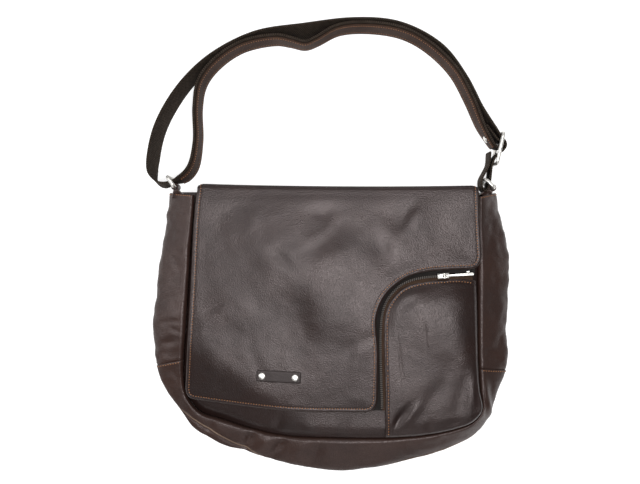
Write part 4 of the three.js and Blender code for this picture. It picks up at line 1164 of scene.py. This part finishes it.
ribbon(
    "webbing_strip", "strap_webbing", "webbing", webbingWeave, 0, len(strapRows) - 1,
    strap["width"], strap["webbing"], 0, lambda depth: -strap["edge"] * bell(depth, strap["edgeWidth"]),
)
ribbon(
    "leather_strip", "strap_leather", "strap_leather", strapLeather, strap["from"], strap["to"],
    strap["leatherWidth"], strap["leather"], strap["offset"],
    lambda depth: edgeShape(depth, *strap["leatherEdge"]),
)


def strapStitches():
    start, end = strap["sewnIn"]
    middle, up, face = strapFrames(strapSteps(strap["from"] + start, strap["to"] - end))
    upper, lower = strap["stitchIn"]
    half, level = strap["leatherWidth"] / 2, strap["offset"] + strap["leather"] / 2 - strap["stitchSunk"]
    lines = [(middle + up * side + face * level, face) for side in (half - upper, lower - half)]
    sewnRow("strap_stitches", "strap_leather", lines, seamThread, **strapStitch)


strapStitches()
middles, ups, outs = strapFrames(np.array([strap["rivetRow"]]))
rivetHead("strap_rivet_head", "strap_rivet", (middles + outs * strap["rivetUp"])[0], outs[0], *strap["rivet"])
print("strap made")


# rings, slide and ring tabs
wire = {"radius": 2.0, "sides": 18, "cornerSteps": 8}
ring = {"halfAlong": 6.2, "halfTall": 21.8, "corner": 3.5, "middle": 24}
ringPlaces = {"left": (-173.8, 69.6, -57.3), "right": (179.5, 67.5, -45)}
tongueEnds = {"left": (-167.6, 53.5), "right": (176, 52.5)}
slide = {"x": 194.6, "y": 123.9, "turn": -102, "along": 35, "bar": 13, "barRadius": 1.7, "corner": 4}
tab = {
    "leather": 1.6, "tall": 26, "low": 8, "tongue": 3.4, "flare": 4.6, "dip": 0.4, "webUp": 0.8,
    "webDip": 2.2, "flareAlong": (2.5, 12), "mouthIn": 1, "edgeWidth": 0.8, "wearWidth": 1.0, "webIn": 0.6,
    "webAlong": (3, 9),
}


def wireHoop(centre, direction, halfAlong, halfTall, corner):
    along, normal = np.array([*direction, 0]), np.array([-direction[1], direction[0], 0])
    path, outs = [], []
    for quarter, (reach, climb) in enumerate(((1, 1), (-1, 1), (-1, -1), (1, -1))):
        bend = centre + along * reach * (halfAlong - corner) + [0, 0, climb * (halfTall - corner)]
        for turn in np.linspace(0, math.pi / 2, wire["cornerSteps"]) + quarter * math.pi / 2:
            outs.append(along * math.cos(turn) + np.array([0, 0, math.sin(turn)]))
            path.append(bend + outs[-1] * corner)
    roll = roundTurns(wire["sides"])[None, :, None]
    rim = np.array(outs)[:, None] * np.cos(roll) + normal * np.sin(roll)
    points = (np.array(path)[:, None] + rim * wire["radius"]).reshape(-1, 3)
    return points, tubeFaces(len(path), wire["sides"], hoop=True)


# leather that loops round the ring and runs down to the bag, with a web over its two legs
def ringTab(hand):
    def flare(reach):
        return tab["flare"] * smooth(reach, *tab["flareAlong"])

    x, y, turn = ringPlaces[hand]
    bar = np.array([x, y]) + heading(turn) * ring["halfAlong"]
    down = np.array(tongueEnds[hand]) - bar
    far, ahead = np.linalg.norm(down), unit(down)
    aside = np.array([-ahead[1], ahead[0]])
    middle = wire["radius"] + gap + tab["leather"] / 2
    apart = (tab["tongue"] - tab["leather"]) / 2
    mouth = math.asin(apart / middle)
    reach = np.linspace(far, middle * math.cos(mouth) + tab["mouthIn"], 16)
    leg = np.column_stack([reach, apart + flare(reach)])
    turns = np.linspace(mouth, fullTurn - mouth, 40)
    loop = middle * np.column_stack([np.cos(turns), np.sin(turns)])
    path = np.concatenate([leg, loop, leg[::-1] * (1, -1)])
    path = bar + path[:, :1] * ahead + path[:, 1:] * aside
    out = rightOf(unit(np.gradient(path, axis=0)))
    levels = np.linspace(tab["low"], tab["low"] + tab["tall"], 15)
    toEdge = np.minimum(levels - levels[0], levels[-1] - levels)
    half = np.full(len(levels), tab["leather"] / 2)
    skins = []
    for away in (tab["dip"] * bell(toEdge, tab["edgeWidth"]) - half, half):
        spot = path[:, None] + out[:, None] * away[None, :, None]
        height = np.broadcast_to(levels[None, :, None], spot.shape[:2] + (1,))
        skins.append(np.concatenate([spot, height], axis=2).reshape(-1, 3))
    wear = np.tile(bell(toEdge, tab["wearWidth"]), len(path))
    faces = gridFaces(len(path), len(levels))
    shell("ring_loop_" + hand, "ring_tab_" + hand, *skins, faces, sideLeatherPaintedLighter, wear)
    reach, shares = np.linspace(middle + tab["webIn"], far, 14), np.linspace(-1, 1, 11)
    width = apart + tab["leather"] / 2 + flare(reach)
    spot = bar + reach[:, None, None] * ahead + (width[:, None] * shares)[..., None] * aside
    sunk = tab["webDip"] * (1 - shares**2) * smooth(reach, *tab["webAlong"])[:, None]
    top = levels[-1] + tab["webUp"] - sunk
    web = np.concatenate([spot, top[..., None]], axis=2).reshape(-1, 3)
    faces, rubbed = gridFaces(len(reach), len(shares)), np.tile(shares**8, len(reach))
    shell("tab_web_" + hand, None, web, web - [0, 0, tab["leather"]], faces, sideLeatherPaintedLighter, rubbed)


# hoop with a bar across it
def slidePiece():
    direction = heading(slide["turn"])
    start, along = np.array([slide["x"], slide["y"], ring["middle"]]), np.array([*direction, 0])
    half = slide["along"] / 2
    points, faces = wireHoop(start + along * half, direction, half, ring["halfTall"], slide["corner"])
    turns = roundTurns(wire["sides"])
    circle = slide["barRadius"] * np.column_stack([np.cos(turns), np.sin(turns), np.zeros(len(turns))])
    bar = start + along * slide["bar"] + circle
    faces += [tuple(k + len(points) for k in face) for face in tubeFaces(2, wire["sides"])]
    points = np.concatenate([points] + [bar + [0, 0, h] for h in (-ring["halfTall"], ring["halfTall"])])
    solidPiece("slide_wire", "strap_slide", "nickel", points, faces, nickel)


for hand, (x, y, turn) in ringPlaces.items():
    centre = np.array([x, y, ring["middle"]])
    hoop = wireHoop(centre, heading(turn), ring["halfAlong"], ring["halfTall"], ring["corner"])
    solidPiece("ring_wire_" + hand, "ring_" + hand, "nickel", *hoop, nickel)
    ringTab(hand)
slidePiece()
print("rings and slide made")


# slider, pull and stop keep their shape, with softened edges
def softened(name, node, width, body="bag"):
    angles = {"flat": 3, "bevel": 35, "sharp": 40}
    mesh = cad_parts[node].data.copy()
    mesh.name = name
    bm = bmesh.new()
    bm.from_mesh(mesh)
    bmesh.ops.remove_doubles(bm, verts=bm.verts, dist=1e-5)
    bmesh.ops.dissolve_limit(bm, angle_limit=math.radians(angles["flat"]), verts=bm.verts, edges=bm.edges)
    bm.to_mesh(mesh)
    bm.free()
    mesh.materials.clear()
    mesh.materials.append(nickel)
    draft = addObject(name + "Draft", mesh)
    edges = draft.modifiers.new("soft edges", "BEVEL")
    edges.width, edges.segments, edges.limit_method = width * mm, 2, "ANGLE"
    edges.angle_limit, edges.harden_normals = math.radians(angles["bevel"]), True
    piece = applied(draft, name)
    piece.data.shade_smooth()
    piece.data.set_sharp_from_angle(angle=math.radians(angles["sharp"]))
    settle(piece, node, body)


softened("slider_shell", "zip_slider", 0.3)
softened("pull_tag", "zip_pull", 0.25, "zip_pull")
softened("stop_clip", "zip_stop", 0.15)
print("zip head made")


# floor and light, in metres
floorPaper = {"half": 4, "below": 0.0003, "tone": 0.6, "glow": 0.7}
lights = {
    "overhead": {"spot": (0.12, -0.1, 2.1), "size": (1.15, 0.98), "power": 38},
    "leftSide": {"spot": (-1.7, 0.2, 1.3), "size": (0.8, 1.1), "power": 16},
    "frontSide": {"spot": (0.1, -1.9, 1.2), "size": (1.4, 0.7), "power": 5},
    "backSide": {"spot": (0.1, 1.9, 1.0), "size": (1.4, 0.7), "power": 8},
}
skyLight = 0.13


def addFloor():
    half, low = floorPaper["half"], -floorPaper["below"]
    mesh = bpy.data.meshes.new("floorPaper")
    corners = [(x * half, y * half, low) for x, y in ((-1, -1), (1, -1), (1, 1), (-1, 1))]
    mesh.from_pydata(corners, [], [(0, 1, 2, 3)])
    material, tree, surface = newMaterial("floorPaper")
    tone = (floorPaper["tone"],) * 3 + (1,)
    give(tree, surface, Base_Color=tone, Roughness=0.9, Specular_IOR_Level=0.1)
    give(tree, surface, Emission_Color=(1, 1, 1, 1), Emission_Strength=floorPaper["glow"])
    mesh.materials.append(material)
    addObject("floorPaper", mesh)


# lamp aimed at the origin
def addLight(name, spot, size, power):
    data = bpy.data.lights.new(name, "AREA")
    data.shape = "RECTANGLE"
    data.size, data.size_y = size
    data.energy = power
    lamp = addObject(name, data)
    lamp.location = spot
    lamp.rotation_euler = (-Vector(spot)).to_track_quat("-Z", "Y").to_euler()


addFloor()
for name, light in lights.items():
    addLight(name, **light)
world = bpy.data.worlds.new("studio")
world.use_nodes = True
give(world.node_tree, world.node_tree.nodes["Background"], Color=(1, 1, 1, 1), Strength=skyLight)
scene.world = world
scene.view_settings.view_transform = "Standard"
print("floor and light set")
